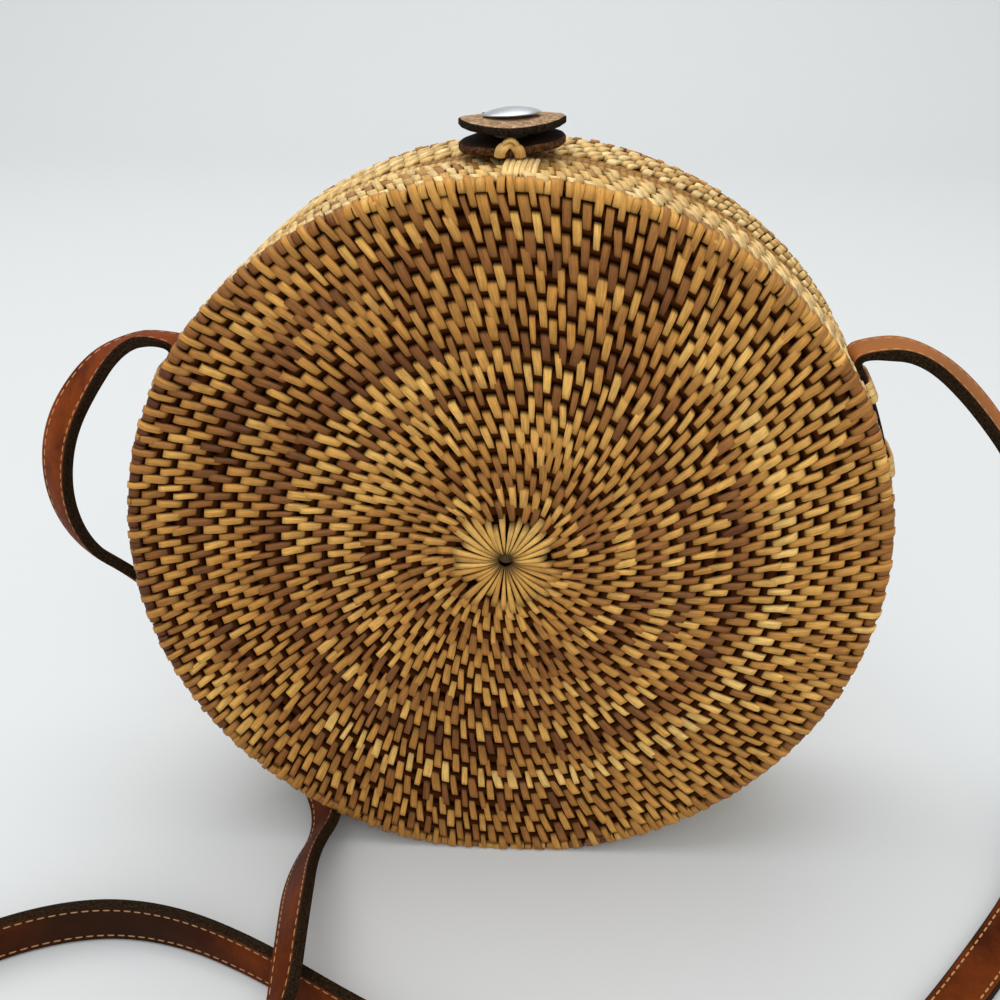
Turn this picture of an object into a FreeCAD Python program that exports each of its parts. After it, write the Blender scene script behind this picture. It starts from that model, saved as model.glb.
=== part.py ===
import FreeCAD, Part
import math
import os

V = FreeCAD.Vector

# Round woven shell: two pan-shaped halves that meet at the seam, y = 0, with the front half at -Y
R_BAG = 100.0            # outside radius
HALF_DEPTH = 27.5        # from the seam to the outside of either face
WALL = 4.0               # one coil of rattan
FLAT_HALF = 20.0         # half the width of the flat that the bag stands on
CORNER_ROUND = 2.4       # rounding of the coil between face and band
COIL_COUNT = 20          # coils on a face, from the rosette to the corner coil
COIL_GROOVE = 2.2        # depth between two coils
COIL_CREST = 1.0         # width of a coil's top
ROSETTE_R = 14.0         # start of the coil at the middle of a face
ROSETTE_HOLE_R = 2.0
ROSETTE_RISE = 0.6
LINING = 0.8             # cloth lining
LINING_SETBACK = 1.5     # from the end of the band to the hem of the lining

# Opening edge and its hinge
SEAM_GAP = 0.4           # between the two lip coils
LIP_R = 1.7              # coil on the edge of each half
LIP_INSET = 1.5          # how far it lies inside the outside radius
LIP_BEND = 30.0          # of the lip coil at the ends of the flat
LIP_WEB = 0.3            # from the lip coil to the end of the band
WEB_HALF = 0.8           # half the thickness of the wrapping between lip coil and band
TIE_COUNT = 3            # rattan ties along the flat, where the lip coils are straight
TIE_PITCH = 13.0
TIE_WIDTH = 5.0
TIE_THICK = 0.9
TIE_PLAY = 0.35          # around the back lip coil, which turns in the ties
SLOT_PLAY = 0.4          # between the ties and the slots of the back half

# Snap clasp on top
CLASP_Y = -1.0           # middle of both leather discs
DISC_R = 13.0
LEATHER = 2.0
ANCHOR_R = 1.0           # wrapped coil under the lower disc
ANCHOR_GAP = 0.9         # between that coil and the ties in front of it
ANCHOR_HALF_ANGLE = 7.0
SNAP_SPACE = 2.5         # between the two leather discs
BASE_TIE_R = 0.8
BASE_TIE_X = 1.9
BASE_TIE_INSET = 2.8     # hole to edge of the lower disc
BASE_TIE_BEND = 1.0
HOLE_PLAY = 0.1
STUD_R = 2.2
STUD_NECK_R = 1.7
STUD_NECK_RISE = 0.4
STUD_RISE = 1.75
FLANGE_R = 4.2
FLANGE = 0.5
SHANK_R = 1.4
RIVET = 0.6
SNAP_PLAY = 2.0          # round the stud, so that it can leave while the disc swings up
SOCKET_WALL = 1.4
SOCKET_RISE = 1.45
SOCKET_PLATE = 0.25
CAP_R = 7.2
CAP_EDGE = 0.6
CAP_RISE = 2.1
RING_R = 3.0             # rattan rings that the upper disc swings on
RING_WIRE_R = 0.8
RING_X = 4.0
RING_AHEAD = 5.5         # from the edge of the upper disc to the rings' middle
RING_RISE = 2.2          # of the rings' middle above the band
RING_PLAY = 0.65
TONGUE_WIDTH = 16.0
TONGUE_TAIL = 0.7        # from the rings' middle to the tongue's end
TONGUE_LAP = 2.0         # of the tongue into the disc

# Leather strap and the rattan loops that hold its ends
STRAP_W = 12.0
STRAP_T = 3.5
STRAP_Y = -9.5
END_T = 2.0                  # a single layer at the strap's ends
END_ANGLES = (8.0, 23.0)     # of the strap's end on the band, above the horizontal
LOOPS = ((14.0, END_T), (24.7, STRAP_T))  # angle above the horizontal and the leather under the loop
LOOP_R = 1.0
LOOP_PLAY = 0.35
LOOP_BEND = 1.6
ARC_SHARE = 0.45             # of the shorter run that each arc of the strap takes up
ARC_STEP = 15.0              # degrees between sections

Z_AXIS = math.sqrt(R_BAG ** 2 - FLAT_HALF ** 2)
Z_TOP = Z_AXIS + R_BAG
AXIS = V(0, 1, 0)
LIP_MIDDLE = SEAM_GAP / 2 + LIP_R
BAND_END = SEAM_GAP / 2 + 2 * LIP_R + LIP_WEB
FACE_INSIDE = HALF_DEPTH - WALL
LIP_Z = LIP_INSET + LIP_R
TIE_R = LIP_R + TIE_PLAY + TIE_THICK
Z_BASE = Z_TOP + 2 * ANCHOR_R
Z_STUD = Z_BASE + LEATHER
Z_DISC = Z_STUD + SNAP_SPACE
BASE_TIE_Y = CLASP_Y - DISC_R + BASE_TIE_INSET
ANCHOR_Y = BASE_TIE_Y + BASE_TIE_R + ANCHOR_GAP + ANCHOR_R
RING_MIDDLE = V(0, CLASP_Y + DISC_R + RING_AHEAD, Z_TOP + RING_RISE)

# The strap's route from the left end to the right one, and the way its width points at each place
END_X = (R_BAG + STRAP_T / 2) * math.cos(math.radians(END_ANGLES[1]))
END_Z = Z_AXIS + (R_BAG + STRAP_T / 2) * math.sin(math.radians(END_ANGLES[1]))
STRAP_ROUTE = [
    ((-END_X, STRAP_Y, END_Z), (0, 1, 0)),
    ((-90.7, -9.5, 144.8), (0, 1, 0)),
    ((-91.0, -9.5, 152.2), (0, 1, -0.1)),
    ((-99.0, -9.6, 151.0), (-0.15, 1, -0.2)),
    ((-108.2, -9.8, 141.8), (-0.35, 1, -0.1)),
    ((-120.5, -10.8, 125.0), (-0.65, 0.75, 0)),
    ((-124.5, -10.5, 106.0), (-0.7, 0.72, 0)),
    ((-119.5, -9.5, 89.5), (-0.65, 0.75, 0)),
    ((-106.5, -8.0, 78.5), (-0.5, 0.85, -0.2)),
    ((-99.5, -3.0, 58.0), (-0.5, 0.8, -0.3)),
    ((-88.0, 1.0, 35.0), (-0.6, 0.7, -0.4)),
    ((-73.0, 2.0, 15.8), (-0.7, 0.5, -0.5)),
    ((-59.0, -4.0, 7.8), (-0.8, 0.2, -0.6)),
    ((-53.5, -22.5, 5.9), (-0.75, 0, -0.65)),
    ((-56.5, -46.0, 9.5), (-0.7, 0, -0.7)),
    ((-49.5, -80.0, 21.5), (-0.75, 0, -0.65)),
    ((-50.0, -106.0, 10.5), (-0.75, 0, -0.65)),
    ((-61.0, -131.0, 6.5), (-0.35, 0.1, -0.9)),
    ((-82.0, -158.0, 6.3), (0, 0, -1)),
    ((-113.0, -169.0, 6.3), (0, 0, -1)),
    ((-145.0, -158.0, 6.3), (0, 0, -1)),
    ((-162.0, -129.0, 6.3), (0, 0, -1)),
    ((-157.0, -97.0, 6.3), (0, 0, -1)),
    ((-137.0, -77.0, 6.3), (0, 0, -1)),
    ((-112.0, -66.0, 6.3), (0, 0, -1)),
    ((-88.0, -67.0, 6.3), (0, 0, -1)),
    ((-62.0, -78.0, 6.3), (0, 0, -1)),
    ((-33.0, -96.0, 6.3), (0, 0, -1)),
    ((0.0, -113.0, 6.3), (0, 0, -1)),
    ((40.0, -126.0, 6.3), (-0.1, 0.3, -0.9)),
    ((80.0, -119.0, 6.1), (-0.3, 0.55, -0.6)),
    ((108.0, -92.0, 3.4), (-0.7, 0.6, -0.15)),
    ((131.0, -64.0, 2.0), (-0.78, 0.62, 0)),
    ((149.0, -41.0, 3.4), (-0.7, 0.7, 0)),
    ((160.0, -24.0, 24.0), (-0.4, 0.9, 0)),
    ((159.0, -14.0, 57.0), (0, 1, -0.1)),
    ((148.5, -9.5, 93.0), (0, 1, -0.15)),
    ((133.0, -9.5, 122.5), (0, 1, -0.2)),
    ((117.0, -9.5, 142.0), (0, 1, -0.2)),
    ((103.5, -9.5, 152.6), (0, 1, -0.2)),
    ((91.5, -9.5, 153.6), (0, 1, -0.1)),
    ((90.7, -9.5, 144.8), (0, 1, 0)),
    ((END_X, STRAP_Y, END_Z), (0, 1, 0)),
]


def to_back(shape):
    return shape.mirror(V(0, 0, 0), AXIS)


def to_left(shape):
    return shape.mirror(V(0, 0, 0), V(1, 0, 0))


def below(height):
    size = 4 * R_BAG
    return Part.makeBox(size, size, size, V(-size / 2, -size / 2, height - size))


def cylinder_x(radius, y, z, x, width):
    return Part.makeCylinder(radius, width, V(x - width / 2, y, z), V(1, 0, 0))


# Front half of the bag's round body, so far inside its outside, between two distances from the seam
def drum(inset, near, far):
    body = Part.makeCylinder(R_BAG - inset, far - near, V(0, -far, Z_AXIS), AXIS)
    return body.cut(below(inset))


# Solid of revolution about the bag's axis, from points of radius and distance from the seam
def turned(points):
    corners = [V(radius, -distance, Z_AXIS) for radius, distance in points]
    profile = Part.Face(Part.makePolygon(corners + corners[:1]))
    return profile.revolve(V(0, 0, Z_AXIS), AXIS, 360)


# Face of coils side by side, each a ridge between two grooves, with a plain inside
def face():
    pitch = (R_BAG - WALL - ROSETTE_R) / COIL_COUNT
    groove = HALF_DEPTH - COIL_GROOVE
    points = [(R_BAG - WALL, groove), (R_BAG - WALL, FACE_INSIDE), (ROSETTE_R, FACE_INSIDE)]
    for i in range(COIL_COUNT):
        start = ROSETTE_R + i * pitch
        crest = start + (pitch - COIL_CREST) / 2
        points += [(start, groove), (crest, HALF_DEPTH), (crest + COIL_CREST, HALF_DEPTH)]
    return turned(points).cut(below(WALL))


def rosette():
    shoulder = (ROSETTE_R + ROSETTE_HOLE_R) / 2
    return turned([
        (ROSETTE_HOLE_R, FACE_INSIDE),
        (ROSETTE_R, FACE_INSIDE),
        (ROSETTE_R, HALF_DEPTH),
        (shoulder, HALF_DEPTH + ROSETTE_RISE),
        (ROSETTE_HOLE_R + ROSETTE_RISE, HALF_DEPTH + ROSETTE_RISE),
        (ROSETTE_HOLE_R, HALF_DEPTH),
    ])


def corner_coil():
    ring = Part.makeCylinder(R_BAG, WALL, V(0, -HALF_DEPTH, Z_AXIS), AXIS)
    outer = [e for e in ring.Edges if e.BoundBox.YMax < -HALF_DEPTH + WALL / 2]
    ring = ring.makeFillet(CORNER_ROUND, outer).cut(below(0))
    return ring.cut(drum(WALL, FACE_INSIDE, HALF_DEPTH))


def band():
    return drum(0, BAND_END, FACE_INSIDE).cut(drum(WALL, BAND_END, FACE_INSIDE))


# Lip coil: a round coil on the bag's outline, straight along the flat and bent into it at both ends
def lip_rod():
    radius = R_BAG - LIP_Z
    bend_z = LIP_Z + LIP_BEND
    straight = math.sqrt((radius - LIP_BEND) ** 2 - (Z_AXIS - bend_z) ** 2)
    scale = radius / (radius - LIP_BEND)
    y = -LIP_MIDDLE
    edges = []
    for side in (1, -1):
        bend_middle = V(side * straight, y, bend_z)
        outward = V(side * straight, 0, bend_z - Z_AXIS).normalize()
        low = V(side * straight, y, LIP_Z)
        high = V(side * straight * scale, y, Z_AXIS - (Z_AXIS - bend_z) * scale)
        half_way = (outward + V(0, 0, -1)).normalize() * LIP_BEND
        edges.append(Part.Arc(low, bend_middle + half_way, high).toShape())
        edges.append(Part.Arc(high, V(side * radius, y, Z_AXIS), V(0, y, Z_AXIS + radius)).toShape())
    edges.append(Part.LineSegment(V(-straight, y, LIP_Z), V(straight, y, LIP_Z)).toShape())
    path = Part.Wire(Part.__sortEdges__(edges))
    section = Part.Wire(Part.makeCircle(LIP_R, V(0, y, Z_AXIS + radius), V(1, 0, 0)))
    return path.makePipeShell([section], True, False)


def lip_web():
    outer = drum(LIP_Z - WEB_HALF, LIP_MIDDLE, BAND_END)
    return outer.cut(drum(LIP_Z + WEB_HALF, LIP_MIDDLE, BAND_END))


def lip_coil(slots):
    return lip_rod().fuse(lip_web().cut(slots)).removeSplitter()


def lining():
    hem = BAND_END + LINING_SETBACK
    cup = drum(WALL, hem, FACE_INSIDE)
    return cup.cut(drum(WALL + LINING, hem, FACE_INSIDE - LINING))


def tie_places():
    return [(i - (TIE_COUNT - 1) / 2) * TIE_PITCH for i in range(TIE_COUNT)]


# Outline round both lip coils at the hinge, as a solid across one tie
def tie_body(front_r, back_r, x, width):
    left = x - width / 2
    corners = [V(left, -LIP_MIDDLE, LIP_Z - front_r), V(left, LIP_MIDDLE, LIP_Z - back_r),
               V(left, LIP_MIDDLE, LIP_Z + back_r), V(left, -LIP_MIDDLE, LIP_Z + front_r)]
    middle = Part.Face(Part.makePolygon(corners + corners[:1])).extrude(V(width, 0, 0))
    front = cylinder_x(front_r, -LIP_MIDDLE, LIP_Z, x, width)
    back = cylinder_x(back_r, LIP_MIDDLE, LIP_Z, x, width)
    return middle.fuse([front, back])


def hinge_ties():
    ties = []
    for x in tie_places():
        outer = tie_body(TIE_R, TIE_R, x, TIE_WIDTH)
        ties.append(outer.cut(tie_body(LIP_R, LIP_R + TIE_PLAY, x, TIE_WIDTH)).removeSplitter())
    return Part.makeCompound(ties)


# Slots that the ties pass through, as the front half's own fit or with room for the back half to turn
def tie_slots(play):
    return Part.makeCompound([cylinder_x(TIE_R + play, -LIP_MIDDLE, LIP_Z, x, TIE_WIDTH + 2 * play)
                              for x in tie_places()])


# Tangent arc that rounds one corner of a route: its start, middle, end and centre
def corner_arc(before, at, after, radius):
    back = (before - at).normalize()
    onward = (after - at).normalize()
    half_turn = (math.pi - back.getAngle(onward)) / 2
    inward = (back + onward).normalize()
    setback = radius * math.tan(half_turn)
    centre = at + inward * (radius / math.cos(half_turn))
    return at + back * setback, centre - inward * radius, at + onward * setback, centre


# Round rod through points, with the same bend at each corner
def bent_rod(points, radius, bend):
    edges = []
    start = points[0]
    for before, at, after in zip(points, points[1:], points[2:]):
        arc_start, middle, end, _ = corner_arc(before, at, after, bend)
        edges.append(Part.LineSegment(start, arc_start).toShape())
        edges.append(Part.Arc(arc_start, middle, end).toShape())
        start = end
    edges.append(Part.LineSegment(start, points[-1]).toShape())
    section = Part.Wire(Part.makeCircle(radius, points[0], points[1] - points[0]))
    return Part.Wire(edges).makePipeShell([section], True, False)


# Rattan loop over the strap's end, at an angle above the horizontal, with feet on the band and the lip coil
def strap_loop(angle, leather):
    reach = STRAP_W / 2 + LOOP_PLAY + LOOP_R
    top = R_BAG + leather + LOOP_PLAY + LOOP_R
    foot = R_BAG - WALL / 2
    points = [V(foot, STRAP_Y - reach, Z_AXIS), V(top, STRAP_Y - reach, Z_AXIS),
              V(top, STRAP_Y + reach, Z_AXIS), V(foot, STRAP_Y + reach, Z_AXIS)]
    loop = bent_rod(points, LOOP_R, LOOP_BEND)
    loop.rotate(V(0, 0, Z_AXIS), AXIS, -angle)
    return loop.cut(drum(0, BAND_END, HALF_DEPTH).fuse(lip_rod()))


def strap_loops():
    return Part.makeCompound([strap_loop(angle, leather) for angle, leather in LOOPS])


# End of the strap, bent to the band under its loops
def strap_end():
    low, high = END_ANGLES
    corners = [V(R_BAG, STRAP_Y - STRAP_W / 2, Z_AXIS), V(R_BAG + END_T, STRAP_Y - STRAP_W / 2, Z_AXIS),
               V(R_BAG + END_T, STRAP_Y + STRAP_W / 2, Z_AXIS), V(R_BAG, STRAP_Y + STRAP_W / 2, Z_AXIS)]
    section = Part.Face(Part.makePolygon(corners + corners[:1]))
    section.rotate(V(0, 0, Z_AXIS), AXIS, -low)
    return section.revolve(V(0, 0, Z_AXIS), AXIS, low - high)


# Rectangle across the strap at one place of its route
def strap_section(place, along, width_way):
    across = (width_way - along * width_way.dot(along)).normalize() * (STRAP_W / 2)
    through = along.cross(across).normalize() * (STRAP_T / 2)
    corners = [place - across - through, place + across - through,
               place + across + through, place - across + through]
    return Part.makePolygon(corners + corners[:1])


# Free stretch of the strap: straight runs joined by arcs as large as the runs allow
def strap():
    points = [V(*place) for place, _ in STRAP_ROUTE]
    ways = [V(*way).normalize() for _, way in STRAP_ROUTE]
    sections = [strap_section(points[0], (points[1] - points[0]).normalize(), ways[0])]
    length = 0
    end = points[0]
    radii = []
    for i in range(1, len(points) - 1):
        before, at, after = points[i - 1:i + 2]
        run_in, run_out = before.distanceToPoint(at), at.distanceToPoint(after)
        turn = (at - before).getAngle(after - at)
        setback = ARC_SHARE * min(run_in, run_out)
        radius = setback / math.tan(turn / 2)
        start, _, arc_end, centre = corner_arc(before, at, after, radius)
        radii.append(radius)
        length += end.distanceToPoint(start) + radius * turn
        end = arc_end
        axis = (at - before).cross(after - at).normalize()
        steps = max(2, math.ceil(math.degrees(turn) / ARC_STEP))
        for step in range(steps + 1):
            share = step / steps
            arm = FreeCAD.Rotation(axis, math.degrees(turn) * share).multVec(start - centre)
            lean = (2 * share - 1) * setback
            other, run = (ways[i - 1], run_in) if lean < 0 else (ways[i + 1], run_out)
            way = ways[i] + (other - ways[i]) * (abs(lean) / run)
            sections.append(strap_section(centre + arm, axis.cross(arm).normalize(), way))
    sections.append(strap_section(points[-1], (points[-1] - points[-2]).normalize(), ways[-1]))
    length += end.distanceToPoint(points[-1])
    solid = Part.makeLoft(sections, True, True)
    swept = STRAP_W * STRAP_T * length
    print("strap radii", " ".join(f"{radius:.0f}" for radius in radii))
    print(f"strap length {length:.0f}, volume {solid.Volume:.0f}, section by length {swept:.0f}")
    return solid


# Wrapped coil on the front band that the lower leather disc rests on
def clasp_anchor():
    middle = V(0, ANCHOR_Y, Z_TOP + ANCHOR_R)
    section = Part.Face(Part.Wire(Part.makeCircle(ANCHOR_R, middle, V(1, 0, 0))))
    section.rotate(V(0, ANCHOR_Y, Z_AXIS), AXIS, -ANCHOR_HALF_ANGLE)
    return section.revolve(V(0, ANCHOR_Y, Z_AXIS), AXIS, 2 * ANCHOR_HALF_ANGLE)


def clasp_base():
    disc = Part.makeCylinder(DISC_R, LEATHER, V(0, CLASP_Y, Z_BASE))
    holes = [Part.makeCylinder(SHANK_R, LEATHER, V(0, CLASP_Y, Z_BASE))]
    for x in (-BASE_TIE_X, BASE_TIE_X):
        holes.append(Part.makeCylinder(BASE_TIE_R + HOLE_PLAY, LEATHER, V(x, BASE_TIE_Y, Z_BASE)))
    return disc.cut(Part.makeCompound(holes))


# Rattan ties through the lower disc and over its front edge, into the front band
def base_ties():
    ties = []
    top = Z_STUD + BASE_TIE_R
    foot = Z_TOP - WALL / 2
    edge = CLASP_Y - DISC_R - BASE_TIE_R - HOLE_PLAY
    for x in (-BASE_TIE_X, BASE_TIE_X):
        points = [V(x, edge, foot), V(x, edge, top), V(x, BASE_TIE_Y, top), V(x, BASE_TIE_Y, foot)]
        ties.append(bent_rod(points, BASE_TIE_R, BASE_TIE_BEND).cut(drum(0, 0, HALF_DEPTH)))
    return Part.makeCompound(ties)


# Solid of revolution about the snap's upright axis, from points of radius and height
def snap_turned(points):
    corners = [V(radius, CLASP_Y, height) for radius, height in points]
    profile = Part.Face(Part.makePolygon(corners + corners[:1]))
    return profile.revolve(V(0, CLASP_Y, 0), V(0, 0, 1), 360)


def snap_stud():
    neck = Z_STUD + FLANGE + STUD_NECK_RISE
    bulb = (neck + Z_STUD + STUD_RISE) / 2
    return snap_turned([
        (0, Z_BASE), (SHANK_R, Z_BASE), (SHANK_R, Z_STUD), (FLANGE_R, Z_STUD), (FLANGE_R, Z_STUD + FLANGE),
        (STUD_NECK_R, Z_STUD + FLANGE), (STUD_NECK_R, neck), (STUD_R, bulb),
        (STUD_NECK_R, Z_STUD + STUD_RISE), (0, Z_STUD + STUD_RISE),
    ])


def stud_rivet():
    return Part.makeCylinder(FLANGE_R, RIVET, V(0, CLASP_Y, Z_BASE - RIVET))


def snap_socket():
    inner = STUD_R + SNAP_PLAY
    outer = inner + SOCKET_WALL
    rim = V(0, CLASP_Y, Z_DISC - SOCKET_RISE)
    bore = Part.makeCylinder(inner, SOCKET_RISE - SOCKET_PLATE, rim)
    return Part.makeCylinder(outer, SOCKET_RISE, rim).cut(bore)


def snap_cap():
    seat = Z_DISC + LEATHER
    dome_height = CAP_RISE - CAP_EDGE
    dome_r = (CAP_R ** 2 + dome_height ** 2) / (2 * dome_height)
    ball = Part.makeSphere(dome_r, V(0, CLASP_Y, seat + CAP_RISE - dome_r))
    cap = Part.makeCylinder(CAP_R, CAP_RISE, V(0, CLASP_Y, seat)).common(ball)
    return cap.fuse(Part.makeCylinder(SHANK_R, LEATHER, V(0, CLASP_Y, Z_DISC))).removeSplitter()


# Way from the rings' middle along the tongue to the upper disc
def tongue_way():
    joint = V(0, CLASP_Y + DISC_R - TONGUE_LAP, Z_DISC + LEATHER / 2)
    return joint, (joint - RING_MIDDLE).normalize()


def clasp_disc():
    joint, way = tongue_way()
    normal = V(1, 0, 0).cross(way) * (LEATHER / 2)
    side = V(TONGUE_WIDTH / 2, 0, 0)
    tail = RING_MIDDLE + way * TONGUE_TAIL
    corners = [tail - side - normal, joint - side - normal, joint - side + normal, tail - side + normal]
    tongue = Part.Face(Part.makePolygon(corners + corners[:1])).extrude(side * 2)
    disc = Part.makeCylinder(DISC_R, LEATHER, V(0, CLASP_Y, Z_DISC))
    holes = [Part.makeCylinder(SHANK_R, LEATHER, V(0, CLASP_Y, Z_DISC))]
    for x in (-RING_X, RING_X):
        place = RING_MIDDLE + way * RING_R + V(x, 0, 0) - normal * 2
        holes.append(Part.makeCylinder(RING_WIRE_R + RING_PLAY, 2 * LEATHER, place, normal))
    return disc.fuse(tongue).removeSplitter().cut(Part.makeCompound(holes))


# Rattan rings through the tongue, standing on the back band
def flap_rings():
    body = to_back(drum(0, 0, HALF_DEPTH))
    rings = []
    for x in (-RING_X, RING_X):
        ring = Part.makeTorus(RING_R, RING_WIRE_R, RING_MIDDLE + V(x, 0, 0), V(1, 0, 0))
        rings.append(ring.cut(body))
    return Part.makeCompound(rings)


fitted_slots = tie_slots(0)
free_slots = tie_slots(SLOT_PLAY)
parts = {
    "front_face": face(),
    "front_rosette": rosette(),
    "front_corner_coil": corner_coil(),
    "front_band": band().cut(fitted_slots),
    "front_lip_coil": lip_coil(fitted_slots),
    "front_lining": lining(),
    "hinge_ties": hinge_ties(),
    "strap_loops_right": strap_loops(),
    "strap_loops_left": to_left(strap_loops()),
    "strap_end_right": strap_end(),
    "strap_end_left": to_left(strap_end()),
    "strap": strap(),
    "clasp_anchor": clasp_anchor(),
    "clasp_base": clasp_base(),
    "base_ties": base_ties(),
    "snap_stud": snap_stud(),
    "stud_rivet": stud_rivet(),
    "back_face": to_back(face()),
    "back_rosette": to_back(rosette()),
    "back_corner_coil": to_back(corner_coil()),
    "back_band": to_back(band().cut(free_slots)),
    "back_lip_coil": to_back(lip_coil(free_slots)),
    "back_lining": to_back(lining()),
    "flap_rings": flap_rings(),
    "clasp_disc": clasp_disc(),
    "snap_socket": snap_socket(),
    "snap_cap": snap_cap(),
}

os.makedirs("parts", exist_ok=True)
for node, shape in parts.items():
    shape.exportStep(f"parts/{node}.step")
    print(node, "valid" if shape.isValid() else "INVALID", len(shape.Solids), f"{shape.Volume:.1f}")
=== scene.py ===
import math

import bmesh
import bpy
import numpy as np
from mathutils import Matrix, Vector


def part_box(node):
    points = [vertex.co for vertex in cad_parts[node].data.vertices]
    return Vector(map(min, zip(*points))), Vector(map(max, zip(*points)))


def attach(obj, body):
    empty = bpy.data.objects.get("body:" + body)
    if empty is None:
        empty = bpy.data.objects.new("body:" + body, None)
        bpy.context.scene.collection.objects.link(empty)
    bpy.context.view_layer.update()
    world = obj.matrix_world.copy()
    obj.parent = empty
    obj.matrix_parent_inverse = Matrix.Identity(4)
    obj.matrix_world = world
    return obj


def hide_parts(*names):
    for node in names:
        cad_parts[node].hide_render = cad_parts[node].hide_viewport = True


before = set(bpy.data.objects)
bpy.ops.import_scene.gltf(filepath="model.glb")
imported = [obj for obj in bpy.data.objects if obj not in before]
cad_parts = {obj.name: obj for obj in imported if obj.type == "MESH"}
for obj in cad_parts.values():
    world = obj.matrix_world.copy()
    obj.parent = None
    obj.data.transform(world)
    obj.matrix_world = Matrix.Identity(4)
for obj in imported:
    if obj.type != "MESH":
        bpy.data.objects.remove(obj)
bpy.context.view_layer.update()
mm = 0.001
fullTurn = 2 * math.pi
random = np.random.default_rng(7)

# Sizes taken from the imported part, in metres
coilLow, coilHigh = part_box("front_corner_coil")
faceLow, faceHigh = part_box("front_face")
rosetteLow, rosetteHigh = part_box("front_rosette")
bag = {
    "radius": (coilHigh.x - coilLow.x) / 2,
    "axisZ": coilHigh.z - (coilHigh.x - coilLow.x) / 2,
    "halfDepth": -coilLow.y,
    "coilStart": (rosetteHigh.x - rosetteLow.x) / 2,  # radius where the coils of a face begin
    "coilEnd": (faceHigh.x - faceLow.x) / 2,          # and where the corner coil begins
    "cornerRound": 2.9 * mm,    # section radius where the face turns into the band
    "crown": 0.6 * mm,          # the middle of a face stands this far out
    "floorSoftness": 0.8 * mm,  # how gently the round edge flattens on the floor
    "leanX": 2.8 * mm,          # hand-woven: the back rim sits this far to the right of the front one
    "leanZ": -0.0035,           # and its top is lower by this share of the height
    "press": 1.2 * mm,          # the tight ends of the strap press the front band in this far
    "pressDepth": 9.5 * mm, "pressHalf": 8.5 * mm,   # about this distance from the seam, so far each way
    "pressRise": 0.3, "pressReach": 0.22,            # and about this share of the radius above the axis
    "pressSoft": 2 * mm, "pressBlend": 0.05,         # with edges that fade over these
    "pressThrough": 3.5 * mm,                        # the wall deeper than this stays as it is
}
print("bag radius", round(bag["radius"], 4), "half depth", round(bag["halfDepth"], 4))


# sRGB hex to linear colour: the standard curve, straight near black and a power of 2.4 above
def linear(code):
    srgb = np.array([int(code[i:i + 2], 16) for i in (1, 3, 5)]) / 255
    rgb = np.where(srgb <= 0.04045, srgb / 12.92, ((srgb + 0.055) / 1.055) ** 2.4)
    return np.append(rgb, 1.0)


# Grid of quads over rows by columns of points, closed round either way on request
def gridQuads(rows, columns, closeRows=False, closeColumns=False):
    index = np.arange(rows * columns).reshape(rows, columns)
    if closeRows:
        index = np.vstack([index, index[:1]])
    if closeColumns:
        index = np.hstack([index, index[:, :1]])
    corners = [index[:-1, :-1], index[:-1, 1:], index[1:, 1:], index[1:, :-1]]
    return np.stack(corners, axis=-1).reshape(-1, 4)


# The same grid repeated once for each of many strips
def repeatedQuads(count, rows, columns, closeColumns=False):
    one = gridQuads(rows, columns, closeColumns=closeColumns)
    return (one[None] + rows * columns * np.arange(count)[:, None, None]).reshape(-1, 4)


# Mesh piece from points and quads, with its own uv in millimetres and a colour for each point
def addPiece(name, points, quads, body, materials, uv=None, tone=None, replaces=(), closed=False,
             materialIndex=None):
    mesh = bpy.data.meshes.new(name)
    mesh.from_pydata(points.reshape(-1, 3).tolist(), [], quads.tolist())
    if uv is not None:
        layer = mesh.uv_layers.new(name="millimetres")
        layer.data.foreach_set("uv", uv.reshape(-1, 2)[quads.ravel()].astype(np.float32).ravel())
    if tone is not None:
        attribute = mesh.attributes.new("tone", "FLOAT_COLOR", "POINT")
        attribute.data.foreach_set("color", tone.reshape(-1, 4).astype(np.float32).ravel())
    if materialIndex is not None:
        mesh.polygons.foreach_set("material_index", materialIndex.astype(np.int32))
    mesh.polygons.foreach_set("use_smooth", np.ones(len(quads), bool))
    if closed:
        work = bmesh.new()
        work.from_mesh(mesh)
        bmesh.ops.remove_doubles(work, verts=work.verts, dist=1e-6)
        bmesh.ops.recalc_face_normals(work, faces=work.faces)
        work.to_mesh(mesh)
        work.free()
    mesh.update()
    piece = bpy.data.objects.new(name, mesh)
    bpy.context.scene.collection.objects.link(piece)
    for material in materials:
        mesh.materials.append(material)
    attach(piece, body)
    if replaces:
        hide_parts(*replaces)
    return piece


# Values for a node's inputs, and links to them from (node, output) pairs
def wire(tree, node, values=None, links=None):
    for key, value in (values or {}).items():
        node.inputs[key].default_value = value
    for key, (source, output) in (links or {}).items():
        tree.links.new(source.outputs[output], node.inputs[key])


# One node with its settings and links, and for a ramp its stops as places and colours
def addNode(tree, kind, values=None, links=None, stops=(), **settings):
    node = tree.nodes.new(kind)
    for key, value in settings.items():
        setattr(node, key, value)
    for number, (place, code) in enumerate(stops):
        node.color_ramp.elements[number].position = place
        node.color_ramp.elements[number].color = linear(code)
    wire(tree, node, values, links)
    return node


def newMaterial(name):
    material = bpy.data.materials.new(name)
    material.use_nodes = True
    tree = material.node_tree
    return material, tree, tree.nodes["Principled BSDF"]


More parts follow.
